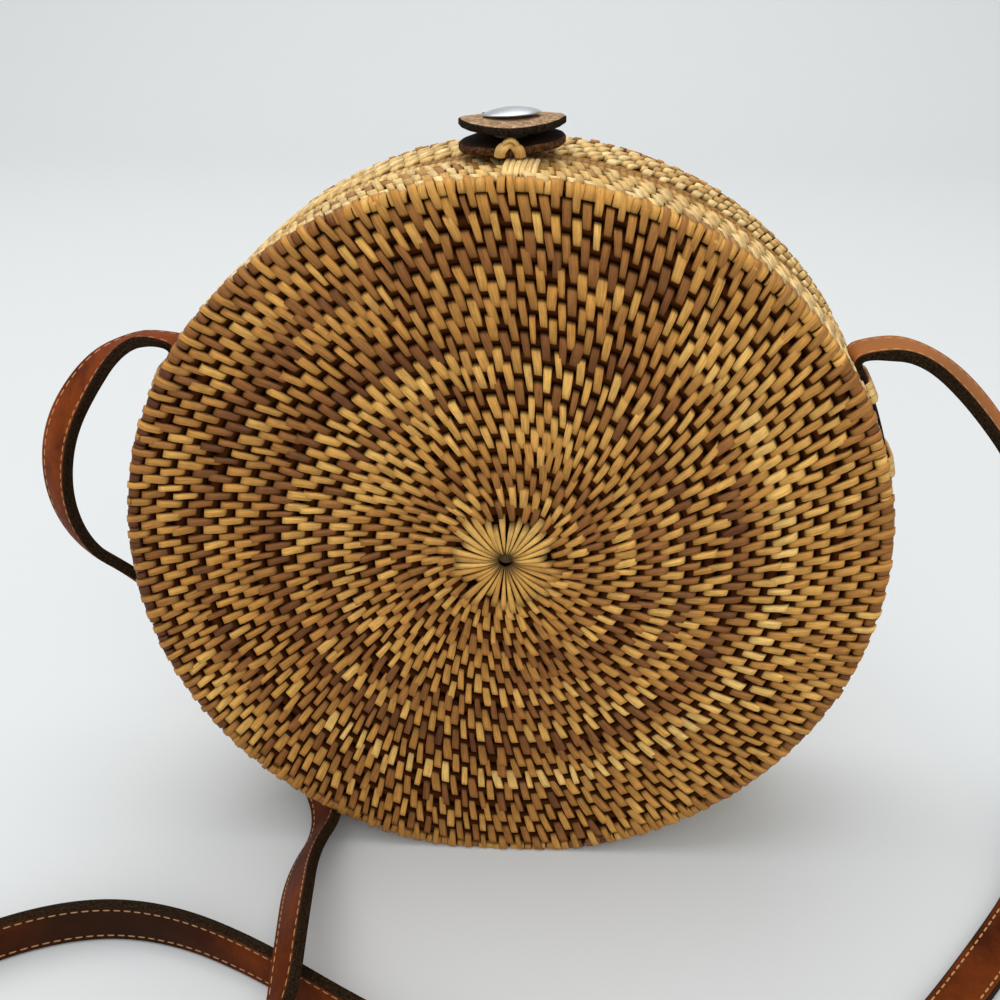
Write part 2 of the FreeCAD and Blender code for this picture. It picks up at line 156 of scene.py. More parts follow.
# Split ata grass, dried and smoked: a satin skin with fine streaks along each strip, its own tone per strip,
# with the painted shade and highlight that the pieces put into that tone colour
def grassStrip(name, streakMm, coarse, gloss):
    material, tree, shader = newMaterial(name)
    uv = addNode(tree, "ShaderNodeUVMap", uv_map="millimetres")
    stretch = addNode(tree, "ShaderNodeMapping", {"Scale": (0.18 / coarse, 1 / streakMm, 1)},
                      {"Vector": (uv, "UV")})  # streaks some 5.5 mm long, longer on a coarse strip
    streak = addNode(tree, "ShaderNodeTexNoise", {"Scale": 1.0, "Detail": 3.0, "Roughness": 0.65},
                     {"Vector": (stretch, "Vector")})
    blotch = addNode(tree, "ShaderNodeTexNoise", {"Scale": 0.22, "Detail": 2.0}, {"Vector": (uv, "UV")})
    tone = addNode(tree, "ShaderNodeAttribute", attribute_name="tone")
    shade = addNode(tree, "ShaderNodeMapRange",
                    {"From Min": 0.3, "From Max": 0.7, "To Min": 0.62, "To Max": 1.2},
                    {"Value": (streak, "Fac")})
    patch = addNode(tree, "ShaderNodeMapRange",
                    {"From Min": 0.35, "From Max": 0.65, "To Min": 0.86, "To Max": 1.08},
                    {"Value": (blotch, "Fac")})
    both = addNode(tree, "ShaderNodeMath", None, {0: (shade, "Result"), 1: (patch, "Result")},
                   operation="MULTIPLY")
    colour = addNode(tree, "ShaderNodeVectorMath", None, {0: (tone, "Color"), "Scale": (both, "Value")},
                     operation="SCALE")
    rough = addNode(tree, "ShaderNodeMapRange", {"To Min": 0.38, "To Max": 0.62}, {"Value": (streak, "Fac")})
    bump = addNode(tree, "ShaderNodeBump", {"Strength": 0.5, "Distance": 0.12 * mm},
                   {"Height": (streak, "Fac")})
    wire(tree, shader, {"Specular IOR Level": gloss},
         {"Base Color": (colour, "Vector"), "Roughness": (rough, "Result"), "Normal": (bump, "Normal")})
    return material


# Solid rattan rod on a carried-over node: fibre streaks from object coordinates
def rattanRod():
    material, tree, shader = newMaterial("rattan rod")
    place = addNode(tree, "ShaderNodeTexCoord")
    fibre = addNode(tree, "ShaderNodeTexNoise", {"Scale": 1 / (1.2 * mm), "Detail": 4.0, "Roughness": 0.6},
                    {"Vector": (place, "Object")})
    ramp = addNode(tree, "ShaderNodeValToRGB", None, {"Fac": (fibre, "Fac")},
                   [(0.34, "#8A5C28"), (0.66, "#CFA45C")])
    bump = addNode(tree, "ShaderNodeBump", {"Strength": 0.6, "Distance": 0.15 * mm},
                   {"Height": (fibre, "Fac")})
    wire(tree, shader, {"Roughness": 0.5}, {"Base Color": (ramp, "Color"), "Normal": (bump, "Normal")})
    return material


hide = {
    "dark": "#4A1B04", "light": "#7C380C", "gloss": 0.6,
    "cloud": 22 * mm, "pore": 0.5 * mm, "wrinkle": 2.2 * mm,
    "heightLightFrom": 20 * mm, "heightLightTo": 155 * mm,    # painted light: brighter the higher it is, darker near the floor
    "heightLightLeast": 0.7, "heightLightMost": 1.36,
    "pale": "#A06A3A", "paleShare": 0.6,        # painted highlight: its right end is lighter high up
    "paleX": (20 * mm, 95 * mm), "paleZ": (90 * mm, 140 * mm),
    "darkPatch": "#25170E", "darkPatchShare": 0.88,     # and round a place low at the left it is darker
    "darkPatchPlace": (-0.105, -0.066, 0.006), "darkPatchFull": 14 * mm, "darkPatchEnd": 42 * mm,
}


# Vegetable-tanned cowhide: tight pores, cloudy tan and a soft waxed gloss, with painted light that grows with
# height, a painted highlight high on its right end and a darker patch low at the left
def tannedLeather():
    material, tree, shader = newMaterial("vegetable tanned strap leather")
    place = addNode(tree, "ShaderNodeTexCoord")
    cloud = addNode(tree, "ShaderNodeTexNoise", {"Scale": 1 / hide["cloud"], "Detail": 5.0, "Roughness": 0.7},
                    {"Vector": (place, "Object")})
    pores = addNode(tree, "ShaderNodeTexVoronoi", {"Scale": 1 / hide["pore"]}, {"Vector": (place, "Object")})
    wrinkle = addNode(tree, "ShaderNodeTexNoise",
                      {"Scale": 1 / hide["wrinkle"], "Detail": 6.0, "Roughness": 0.7},
                      {"Vector": (place, "Object")})
    ramp = addNode(tree, "ShaderNodeValToRGB", None, {"Fac": (cloud, "Fac")},
                   [(0.36, hide["dark"]), (0.66, hide["light"])])
    height = addNode(tree, "ShaderNodeMath", None, {0: (pores, "Distance"), 1: (wrinkle, "Fac")},
                     operation="ADD")
    bump = addNode(tree, "ShaderNodeBump", {"Strength": 0.45, "Distance": 0.12 * mm},
                   {"Height": (height, "Value")})
    rough = addNode(tree, "ShaderNodeMapRange",
                    {"To Min": hide["gloss"] - 0.08, "To Max": hide["gloss"] + 0.12},
                    {"Value": (wrinkle, "Fac")})
    apart = addNode(tree, "ShaderNodeSeparateXYZ", None, {0: (place, "Object")})
    # painted light: the colour grows brighter with height, lit from above and darker low down
    worn = addNode(tree, "ShaderNodeMapRange",
                   {"From Min": hide["heightLightFrom"], "From Max": hide["heightLightTo"],
                    "To Min": hide["heightLightLeast"], "To Max": hide["heightLightMost"]}, {"Value": (apart, "Z")})
    colour = addNode(tree, "ShaderNodeVectorMath", None, {0: (ramp, "Color"), "Scale": (worn, "Result")},
                     operation="SCALE")
    # painted highlight: high up at the right end the colour is mixed towards the pale one
    aloft = addNode(tree, "ShaderNodeMapRange",
                    {"From Min": hide["paleZ"][0], "From Max": hide["paleZ"][1]}, {"Value": (apart, "Z")})
    right = addNode(tree, "ShaderNodeMapRange",
                    {"From Min": hide["paleX"][0], "From Max": hide["paleX"][1],
                     "To Max": hide["paleShare"]}, {"Value": (apart, "X")})
    highlighted = addNode(tree, "ShaderNodeMath", None, {0: (aloft, "Result"), 1: (right, "Result")},
                    operation="MULTIPLY")
    pale = addNode(tree, "ShaderNodeMixRGB", {"Color2": linear(hide["pale"])},
                   {"Fac": (highlighted, "Value"), "Color1": (colour, "Vector")})
    # darker round a place low at the left, fading with distance from it
    distant = addNode(tree, "ShaderNodeVectorMath", {1: hide["darkPatchPlace"]}, {0: (place, "Object")},
                      operation="DISTANCE")
    near = addNode(tree, "ShaderNodeMapRange",
                   {"From Min": hide["darkPatchFull"], "From Max": hide["darkPatchEnd"],
                    "To Min": hide["darkPatchShare"], "To Max": 0}, {"Value": (distant, "Value")})
    darkened = addNode(tree, "ShaderNodeMixRGB", {"Color2": linear(hide["darkPatch"])},
                      {"Fac": (near, "Result"), "Color1": (pale, "Color")})
    wire(tree, shader, {"Specular IOR Level": 0.05},
         {"Base Color": (darkened, "Color"), "Roughness": (rough, "Result"), "Normal": (bump, "Normal")})
    return material


# Cut leather edge and rough flesh side: dark, fibrous and dull, with pale specks
def cutLeather(name, dark, light, grainMm):
    material, tree, shader = newMaterial(name)
    place = addNode(tree, "ShaderNodeTexCoord")
    grain = addNode(tree, "ShaderNodeTexNoise",
                    {"Scale": 1 / (grainMm * mm), "Detail": 5.0, "Roughness": 0.75},
                    {"Vector": (place, "Object")})
    ramp = addNode(tree, "ShaderNodeValToRGB", None, {"Fac": (grain, "Fac")}, [(0.45, dark), (0.72, light)])
    bump = addNode(tree, "ShaderNodeBump", {"Strength": 0.9, "Distance": 0.3 * mm},
                   {"Height": (grain, "Fac")})
    wire(tree, shader, {"Roughness": 0.88, "Specular IOR Level": 0.08},
         {"Base Color": (ramp, "Color"), "Normal": (bump, "Normal")})
    return material


# Snap metal: plated and bright on the cap, oxidised where it is hidden, with faint handling scratches
def snapMetal(name, colour):
    material, tree, shader = newMaterial(name)
    place = addNode(tree, "ShaderNodeTexCoord")
    scratch = addNode(tree, "ShaderNodeTexNoise", {"Scale": 1 / (1.5 * mm), "Detail": 6.0, "Roughness": 0.8},
                      {"Vector": (place, "Object")})
    rough = addNode(tree, "ShaderNodeMapRange", {"To Min": 0.24, "To Max": 0.46}, {"Value": (scratch, "Fac")})
    wire(tree, shader, {"Base Color": linear(colour), "Metallic": 1.0}, {"Roughness": (rough, "Result")})
    return material


# Waxed linen thread: matte, twisted every millimetre or so along its stitch
def linenThread():
    material, tree, shader = newMaterial("waxed linen thread")
    uv = addNode(tree, "ShaderNodeUVMap", uv_map="millimetres")
    slant = addNode(tree, "ShaderNodeMapping", {"Rotation": (0, 0, 0.7), "Scale": (1.6, 1.6, 1)},
                    {"Vector": (uv, "UV")})
    twist = addNode(tree, "ShaderNodeTexWave", {"Scale": 0.6, "Distortion": 1.0},
                    {"Vector": (slant, "Vector")})
    ramp = addNode(tree, "ShaderNodeValToRGB", None, {"Fac": (twist, "Fac")},
                   [(0, "#8A6238"), (1, "#C49A66")])
    bump = addNode(tree, "ShaderNodeBump", {"Strength": 0.6, "Distance": 0.1 * mm},
                   {"Height": (twist, "Fac")})
    wire(tree, shader, {"Roughness": 0.75}, {"Base Color": (ramp, "Color"), "Normal": (bump, "Normal")})
    return material


# Plain-weave cotton lining: crossed threads half a millimetre apart, drawn at 0.9 mm so that they show
def cottonLining():
    material, tree, shader = newMaterial("cotton lining")
    uv = addNode(tree, "ShaderNodeUVMap", uv_map="millimetres")
    warp, weft = [addNode(tree, "ShaderNodeTexWave", {"Scale": 0.31 / 0.9, "Distortion": 0.4},
                          {"Vector": (uv, "UV")}, bands_direction=way) for way in "XY"]
    cross = addNode(tree, "ShaderNodeMath", None, {0: (warp, "Fac"), 1: (weft, "Fac")}, operation="MULTIPLY")
    ramp = addNode(tree, "ShaderNodeValToRGB", None, {"Fac": (cross, "Value")},
                   [(0, "#7C5D3B"), (1, "#A98A5F")])
    bump = addNode(tree, "ShaderNodeBump", {"Strength": 0.5, "Distance": 0.15 * mm},
                   {"Height": (cross, "Value")})
    wire(tree, shader, {"Roughness": 0.9, "Sheen Weight": 0.2},
         {"Base Color": (ramp, "Color"), "Normal": (bump, "Normal")})
    return material


stripMaterial = grassStrip("split ata grass strip", streakMm=0.5, coarse=1.0, gloss=0.2)
coreMaterial = grassStrip("ata grass coil core", streakMm=0.5, coarse=2.0, gloss=0.0)
rodMaterial = rattanRod()
strapMaterial = tannedLeather()
edgeMaterial = cutLeather("cut strap edge", "#120A04", "#46321C", grainMm=0.45)
discMaterial = cutLeather("worn disc leather", "#7C6046", "#D6B48E", grainMm=1.1)
discEdgeMaterial = cutLeather("cut disc edge", "#0E0906", "#3E2D1E", grainMm=0.6)
# painted shade: the base leather's top is made near black for the shade under the upper disc
shadedBaseMaterial = cutLeather("dark base leather", "#1A0E07", "#3E2616", grainMm=0.9)
baseEdgeMaterial = cutLeather("cut base edge", "#321C0D", "#7A522F", grainMm=0.8)
steelMaterial = snapMetal("nickel plated steel", "#B9BCBF")
dullMaterial = snapMetal("oxidised steel", "#55504A")
threadMaterial = linenThread()
liningMaterial = cottonLining()
print("materials made")


# Section of half the bag, as distance along it from the middle of the face: straight over the face, a quarter
# circle round the corner, then straight along the band. Height moves a point out along the section's normal.
# The section turns about the bag's axis, its underside flattens on the floor, and the whole leans a little.
def shellPoint(along, angle, height, side):
    faceEnd = bag["radius"] - bag["cornerRound"]
    turn = np.clip((along - faceEnd) / bag["cornerRound"], 0, math.pi / 2)
    bandRun = np.maximum(along - faceEnd - bag["cornerRound"] * math.pi / 2, 0)
    radius = np.minimum(along, faceEnd) + (bag["cornerRound"] + height) * np.sin(turn)
    depth = bag["halfDepth"] - bag["cornerRound"] + (bag["cornerRound"] + height) * np.cos(turn) - bandRun
    depth = depth + bag["crown"] * (1 - np.clip(along / faceEnd, 0, 1) ** 2)
    if side < 0:  # the strap is on the front half
        outside = np.clip((height + bag["pressThrough"]) / bag["pressSoft"], 0, 1)
        radius = radius - pressed(depth, angle) * outside
    return leaned(radius, depth, angle, side, 0.0)


# How far the band gives way under the strap's ends: a flat patch at each side with soft edges
def pressed(depth, angle):
    across = np.clip((bag["pressHalf"] - np.abs(depth - bag["pressDepth"])) / bag["pressSoft"], 0, 1)
    around = np.clip((bag["pressReach"] - np.abs(np.sin(angle) - bag["pressRise"])) / bag["pressBlend"], 0, 1)
    return bag["press"] * across * around


# Point at a radius and a distance from the seam, flattened softly where it comes near the floor level given
def leaned(radius, depth, angle, side, level):
    x = radius * np.cos(angle)
    drop = bag["axisZ"] + radius * np.sin(angle) - level
    z = level + (drop + np.sqrt(drop ** 2 + bag["floorSoftness"] ** 2)) / 2
    y = side * depth
    share = (y + bag["halfDepth"]) / (2 * bag["halfDepth"])
    return np.stack([x + bag["leanX"] * share, y, z * (1 + bag["leanZ"] * share)], axis=-1)


weave = {
    "faceCoils": 20,             # coils on a face, as in the part
    "faceSpacing": 4.65 * mm,    # from stitch to stitch along a coil
    "closeSpacing": 3.3 * mm,    # and in the coils near the rosette
    "closeReach": 60 * mm,       # radius up to which they stand closer
    "closeSize": 0.86,           # and are narrower and shorter by this share
    "faceWidth": 2.2 * mm,
    "faceSlant": 0.9 * mm,       # a stitch leans this far round the bag for each coil that it crosses
    "firstCount": 30,            # stitches in the coil round the rosette
    "cornerShare": 0.6,          # of the corner's round at which its coil lies
    "cornerWidth": 2.1 * mm, "cornerRise": 0.45 * mm, "cornerTone": 0.06,
    "whipSpacing": 2.3 * mm,     # close whipping over the corner coil
    "whipWidth": 2.2 * mm, "whipSlant": 0.2 * mm, "whipReach": 0.45, "whipRise": 0.15 * mm, "whipTone": -0.14,
    "bandCoils": 5,
    "lipRoom": 4.1 * mm,         # left on the band for the lip coil
    "bandSpacing": 4.3 * mm,
    "bandWidth": 2.35 * mm, "bandSlant": 1.2 * mm, "bandReach": 0.95, "bandTone": 0.1,
    "wall": 4.0 * mm,
}
handwork = {                     # how uneven the stitches are
    "newStrip": 0.035,           # share of the stitches where a new grass strip begins
    "tone": 0.47,                # middle of the tones, then how they spread
    "stripTone": 0.18, "stitchTone": 0.07, "brightness": 0.06,
    "length": 0.04, "width": 0.13, "lean": 0.06, "shift": 0.03, "height": 0.12 * mm,
    "tucked": 0.12,              # narrower by this share where the end tucks in
    "firstSpread": 0.1,          # of the spacing, in the first row
    "gapChoice": (0.8, 1.2),     # chance has a say in which gaps get an extra stitch
    "evenRounds": 3, "evenShare": 0.25,   # how often and how far each row is evened out
    "grain": 400, "grainSkew": 0.7,   # millimetres of streaks in which each strip takes its own place
}
# Middles of the coils along the section of half the bag: those of a face, the corner's, then the band's
facePitch = (bag["coilEnd"] - bag["coilStart"]) / weave["faceCoils"]
faceCoils = bag["coilStart"] + (np.arange(weave["faceCoils"]) + 0.5) * facePitch
cornerCoil = bag["radius"] - bag["cornerRound"] * (1 - weave["cornerShare"])
cornerPitch = cornerCoil - faceCoils[-1]
bandStart = bag["radius"] + bag["cornerRound"] * (math.pi / 2 - 1)
bandEnd = bandStart + bag["halfDepth"] - bag["cornerRound"] - weave["lipRoom"]
bandPitch = (bandEnd - bandStart) / weave["bandCoils"]
bandCoils = bandStart + (np.arange(weave["bandCoils"]) + 0.5) * bandPitch
# Sides of one stitch: places along it in coil pitches, outermost first, and heights there; then painted shade
# as a share of the strip's own tone, dark at both ends where the strip dives under, with a painted highlight
# a little over one at its crest; then the same from edge to edge, with painted shade at both edges
stitchAlong = np.array([0.57, 0.51, 0.40, 0.10, -0.30, -0.70, -0.98, -1.13, -1.20])
stitchHeight = np.array([-2.6, -1.15, -0.25, 0.0, -0.15, -0.25, -0.42, -1.0, -2.4]) * mm
stitchShade = np.array([0.05, 0.3, 0.95, 1.1, 1.0, 0.92, 0.8, 0.45, 0.05])
stitchAcross = np.array([-1.0, -0.84, 0.84, 1.0])
stitchEdge = np.array([-0.9, 0.0, 0.0, -0.9]) * mm
edgeShade = np.array([0.1, 1.0, 1.0, 0.1])
faceTones = np.array([linear(code) for code in ("#5C3214", "#8E5A28", "#BA833B", "#DBA957", "#E4B96B")])
bandTones = np.array([linear(code) for code in ("#9C6C2E", "#C0914A", "#D4AC66", "#E0BD7C", "#EACB90")])


# Colour of each stitch in a row: one long grass strip gives a run of stitches a common tone between the stops
def rowTones(count, stops, bias):
    runs = np.cumsum(random.random(count) < handwork["newStrip"])
    strips = random.normal(handwork["tone"] + bias, handwork["stripTone"], runs[-1] + 1)
    level = strips[runs] + random.normal(0, handwork["stitchTone"], count)
    place = np.clip(level, 0, 0.999) * (len(stops) - 1)
    low = place.astype(int)
    mixed = stops[low] + (stops[low + 1] - stops[low]) * (place - low)[:, None]
    return mixed * random.normal(1, handwork["brightness"], (count, 1))


# Angles of the next row's stitches: between those of the last one, moved on by the slant, with extra stitches
# let in at the widest gaps as the coil grows, then evened out
def nextAngles(angles, radius, spacing, slant):
    gaps = np.diff(np.append(angles, angles[0] + fullTurn))
    extra = max(0, round(fullTurn * radius / spacing) - len(angles))
    widest = np.argsort(-gaps * random.uniform(*handwork["gapChoice"], len(gaps)))[:extra]
    share = np.full(len(gaps), 0.5)
    share[widest] = 1 / 3
    middle = np.sort(np.concatenate([angles + gaps * share, (angles + gaps * 2 / 3)[widest]]))
    for _ in range(handwork["evenRounds"]):
        before = np.roll(middle, 1)
        before[0] -= fullTurn
        after = np.roll(middle, -1)
        after[-1] += fullTurn
        middle = middle + handwork["evenShare"] * (before + after - 2 * middle)
    return middle + slant / radius


# All the stitches of one row. Each is a narrow strip that runs across the coils, domed along its length by
# the heights above and turned down at its two edges, then laid on the shell.
def rowOfStitches(centre, pitch, angles, width, slant, reach, raised, side):
    count = len(angles)
    radius = min(centre, bag["radius"])
    jitter = random.normal(0, 1, (5, count, 1, 1))
    along = stitchAlong[None, :, None] * (1 + handwork["length"] * jitter[0])
    along = np.where(along < 0, along * reach, along) * pitch
    across = stitchAcross[None, None, :] * width / 2 * (1 + handwork["width"] * jitter[1])
    sideways = along * (slant / pitch + handwork["lean"] * jitter[2]) + handwork["shift"] * pitch * jitter[3]
    height = stitchHeight[None, :, None] + stitchEdge[None, None, :] + raised + handwork["height"] * jitter[4]
    across = across * (1 - handwork["tucked"] * (along[..., :1] < -pitch))
    points = shellPoint(centre + along + 0 * across, angles[:, None, None] + (sideways + across) / radius,
                        height + 0 * along, side)
    offset = random.uniform(0, handwork["grain"], (count, 1, 1))
    uv = np.stack([along / mm + offset + 0 * across,
                   across / mm + offset * handwork["grainSkew"] + 0 * along], axis=-1)
    return points.reshape(-1, 3), uv.reshape(-1, 2)


# Every row of one half of the bag, from the first coil round the rosette to the last on the band
def wovenHalf(side, name, body):
    parts, uvs, tones = [], [], []
    perStitch = len(stitchAlong) * len(stitchAcross)
    # painted shade along and across each stitch, with the painted highlight at its crest, as a share of its
    # tone
    shade = (stitchShade[:, None] * edgeShade[None, :]).ravel()

    def lay(centre, pitch, angles, width, slant, reach, raised, stops, bias):
        points, uv = rowOfStitches(centre, pitch, angles, width, slant, reach, raised, side)
        parts.append(points)
        uvs.append(uv)
        tones.append((rowTones(len(angles), stops, bias)[:, None] * shade[None, :, None]).reshape(-1, 4))

    count = weave["firstCount"]
    spread = handwork["firstSpread"]
    angles = (np.arange(count) + random.uniform(-spread, spread, count)) * fullTurn / count
    closeRange = [bag["coilStart"], weave["closeReach"]]
    for centre in faceCoils:
        size = np.interp(centre, closeRange, [weave["closeSize"], 1])
        lay(centre, facePitch, angles, weave["faceWidth"] * size, weave["faceSlant"], size, 0.0,
            faceTones, 0.0)
        spacing = np.interp(centre, closeRange, [weave["closeSpacing"], weave["faceSpacing"]])
        angles = nextAngles(angles, centre + facePitch, spacing, weave["faceSlant"])
    lay(cornerCoil, cornerPitch, angles, weave["cornerWidth"], weave["faceSlant"], 1.0, weave["cornerRise"],
        faceTones, weave["cornerTone"])
    wraps = np.arange(0, fullTurn, weave["whipSpacing"] / bag["radius"])
    lay(cornerCoil, cornerPitch, wraps, weave["whipWidth"], weave["whipSlant"], weave["whipReach"],
        weave["whipRise"], faceTones, weave["whipTone"])
    for centre in bandCoils:
        angles = nextAngles(angles, bag["radius"], weave["bandSpacing"], weave["bandSlant"])
        lay(centre, bandPitch, angles, weave["bandWidth"], weave["bandSlant"], weave["bandReach"], 0.0,
            bandTones, weave["bandTone"])
    points, uv, tone = np.vstack(parts), np.vstack(uvs), np.vstack(tones)
    quads = repeatedQuads(len(points) // perStitch, len(stitchAlong), len(stitchAcross))
    quads = quads[:, ::-1] if side > 0 else quads
    addPiece(name, points, quads, body, [stripMaterial], uv, tone)
    print(name, "stitches", len(points) // perStitch)


core = {
    "crest": 0.85 * mm,        # crest of a coil under the strips' tops
    "groove": 1.9 * mm,        # from the crest to the groove between two coils
    "ridge": 1.96,             # 2 would make each ridge a full half round
    "hole": 2.0 * mm, "underRosette": 1.6 * mm,
    "inside": 0.5 * mm,        # thinner than the wall by this, to clear the lining
    "outerSteps": 230, "innerSteps": 40, "around": 300,
    # painted shade: near black in the grooves between coils, fading up to the grass colour at the crests
    "grooveShade": "#0C0301", "grass": "#40200C", "grooveShadeFade": 3.5,
    "beside": "#9A6E36", "besideShare": 0.3,   # paler beside the lip, over this share of a pitch
}


# Coils under the stitches: the shell's section with a rounded ridge for each coil, and a plain inner wall
def coilCore(side, name, body, replaces):
    outer = np.linspace(core["hole"], bandEnd, core["outerSteps"])
    middles = np.concatenate([faceCoils, [cornerCoil], bandCoils])
    ridge = np.interp(outer, middles, np.arange(len(middles)))
    ridge = ridge - np.round(ridge)
    height = -core["crest"] - core["groove"] * (1 - np.sqrt(1 - (core["ridge"] * ridge) ** 2))
    height = np.where(outer < bag["coilStart"], -core["underRosette"], height)
    inner = np.linspace(bandEnd, core["hole"], core["innerSteps"])
    along = np.concatenate([outer, inner])
    rise = np.concatenate([height, np.full(len(inner), core["inside"] - weave["wall"])])
    angle = np.linspace(0, fullTurn, core["around"], endpoint=False)
    points = shellPoint(along[:, None] + 0 * angle, angle[None, :] + 0 * along[:, None],
                        rise[:, None] + 0 * angle, side)
    # painted shade: the tone darkens from the grass colour at a crest to near black deep in the groove
    depth = np.clip((rise + core["crest"] + core["groove"]) / core["groove"], 0, 1)[:, None, None]
    grooveShade, grass = linear(core["grooveShade"]), linear(core["grass"])
    tone = grooveShade + (grass - grooveShade) * depth ** core["grooveShadeFade"] + 0 * angle[None, :, None]
    beside = np.clip((along - bandCoils[-1]) / (core["besideShare"] * bandPitch), 0, 1)[:, None, None]
    tone = tone + (linear(core["beside"]) - tone) * beside
    uv = np.stack([angle[None, :] * np.minimum(along, bag["radius"])[:, None] / mm,
                   along[:, None] / mm + 0 * angle], axis=-1)
    quads = gridQuads(len(along), len(angle), closeRows=True, closeColumns=True)
    addPiece(name, points, quads, body, [coreMaterial], uv, tone, replaces, closed=True)


halves = [(-1, "front", "front_half"), (1, "back", "back_half")]
for side, word, body in halves:
    wovenHalf(side, word + "_stitches", body)
    coilCore(side, word + "_coils", body, [f"{word}_face", f"{word}_corner_coil", f"{word}_band"])
print("shell woven")

rosette = {
    "strips": 35, "inner": 1.7 * mm, "outer": 14.8 * mm, "outerSpread": 1.9 * mm,
    "stripWidth": 1.85 * mm, "leastWidth": 0.35 * mm, "cover": 0.86,   # share of the round that strips fill
    "rise": 0.15 * mm, "tone": 0.14, "laps": np.array([0.0, 0.3, 0.12]) * mm,
    "angleSpread": 0.12, "widthSpread": (0.85, 1.1), "tilt": 0.05,     # uneven as hand work is
    "arch": np.array([-1.6, -0.35, 0.1, 0.2, 0.2, 0.15, 0.1, -0.3, -1.8]) * mm,   # heights along a strip
    "shade": np.array([0.1, 0.5, 0.9, 1, 1, 1, 0.95, 0.6, 0.15]),                 # and painted shade, dark at both ends where they tuck under
}


# Rosette: long strips from the middle hole outwards, narrow at the hole, some lying over their neighbours
def addRosette(side, name, body, replaces):
    count, rows = rosette["strips"], len(rosette["arch"])
    spread, tilted = rosette["angleSpread"], rosette["tilt"]
    angles = (np.arange(count) + random.uniform(-spread, spread, count)) * fullTurn / count
    reach = np.linspace(0, 1, rows)
    end = rosette["outer"] + random.normal(0, rosette["outerSpread"], count)
    along = rosette["inner"] + reach[None, :, None] * (end[:, None, None] - rosette["inner"])
    width = np.clip(rosette["cover"] * fullTurn * along / count, rosette["leastWidth"], rosette["stripWidth"])
    width = width * random.uniform(*rosette["widthSpread"], (count, 1, 1))
    across = stitchAcross[None, None, :] * width / 2
    lap = np.resize(rosette["laps"], count)[:, None, None]
    tilt = random.uniform(-tilted, tilted, (count, 1, 1))
    height = rosette["arch"][None, :, None] + stitchEdge[None, None, :] + lap + rosette["rise"]
    angle = angles[:, None, None] + across / along + tilt * (reach[None, :, None] - 0.5)
    points = shellPoint(along + 0 * across, angle, height + 0 * across, side)
    offset = random.uniform(0, handwork["grain"], (count, 1, 1))
    uv = np.stack([along / mm + offset + 0 * across, across / mm + offset + 0 * along], axis=-1)
    # painted shade along and across each strip, as a share of its tone
    shade = rosette["shade"][:, None] * edgeShade[None, :]
    tone = rowTones(count, faceTones, rosette["tone"])[:, None] * shade.reshape(1, -1, 1)
    quads = repeatedQuads(count, rows, len(stitchAcross))
    quads = quads if side > 0 else quads[:, ::-1]
    addPiece(name, points.reshape(-1, 3), quads, body, [stripMaterial], uv, tone, replaces)


for side, word, body in halves:
    addRosette(side, word + "_rosette_strips", body, [word + "_rosette"])
print("rosettes laid")

lip = {
    "wraps": 330, "perWrap": 5, "around": 14,
    "radius": 1.7 * mm, "swell": 0.16 * mm, "swellPower": 0.6, "slant": 0.12,
    "middle": 1.9 * mm,                                # from the seam
    "inset": 2.2 * mm, "hingeInset": 3.2 * mm,         # from the bag's radius, at the sides and at the hinge
    "floor": 1.5 * mm,                                 # level on which its underside flattens
    # painted shade between the wraps: the least share of the tone, and how fast it grows towards a wrap's
    # crest
    "wrapGapShadeLeast": 0.2, "wrapGapShadePower": 0.5,
    "wrapWidth": 1.8, "grainStep": 3.1,                # of the streaks, in millimetres
    "hingeFrom": 0.6, "hingeBlend": 0.35,              # shares of the radius under the axis
}


# Share of the way from the sides to the hinge: nothing above, one along the flat bottom, smooth between
def hingeShare(angle):
    low = np.clip((-np.sin(angle) - lip["hingeFrom"]) / lip["hingeBlend"], 0, 1)
    return low ** 2 * (3 - 2 * low)


# Lip coil: a tube round the mouth whose radius swells once for each wrap of grass; the wraps lie a bit aslant
def addLipCoil(side, name, body, replaces):
    steps = lip["wraps"] * lip["perWrap"]
    along = np.linspace(0, 1, steps, endpoint=False)[:, None]
    around = np.linspace(0, fullTurn, lip["around"], endpoint=False)[None, :]
    phase = along * lip["wraps"] + lip["slant"] * np.sin(around)
    bulge = np.abs(np.sin(math.pi * phase))
    tube = lip["radius"] - lip["swell"] * (1 - bulge ** lip["swellPower"])
    angle = along * fullTurn + 0 * around
    inset = lip["inset"] + (lip["hingeInset"] - lip["inset"]) * hingeShare(angle)
    radius = bag["radius"] - inset + tube * np.cos(around)
    points = leaned(radius, lip["middle"] + tube * np.sin(around), angle, side, lip["floor"])
    wrap = np.floor(phase).astype(int) % lip["wraps"]
    # painted shade: each wrap darkens towards the gaps between wraps
    wrapShade = lip["wrapGapShadeLeast"] + (1 - lip["wrapGapShadeLeast"]) * bulge[..., None] ** lip["wrapGapShadePower"]
    tone = rowTones(lip["wraps"], bandTones, 0.0)[wrap] * wrapShade
    uv = np.stack([around * lip["radius"] / mm + 0 * along + wrap * lip["grainStep"],
                   phase * lip["wrapWidth"]], axis=-1)
    quads = gridQuads(steps, lip["around"], closeRows=True, closeColumns=True)
    addPiece(name, points, quads, body, [stripMaterial], uv, tone, replaces, closed=True)


for side, word, body in halves:
    addLipCoil(side, word + "_lip_wrapping", body, [word + "_lip_coil"])
print("lip coils wrapped")

lining = {
    "gap": 0.1 * mm, "cloth": 0.7 * mm, "hem": 2.6 * mm, "hingeHem": 5.4 * mm, "corner": 6 * mm,
    "wrinkle": 0.35 * mm, "wrinkleLength": 26 * mm, "calm": 20 * mm,   # no wrinkles at the middle of the face
    "wallSteps": 6, "cornerSteps": 9, "faceSteps": 25, "around": 180, "floor": 3.5 * mm,
}


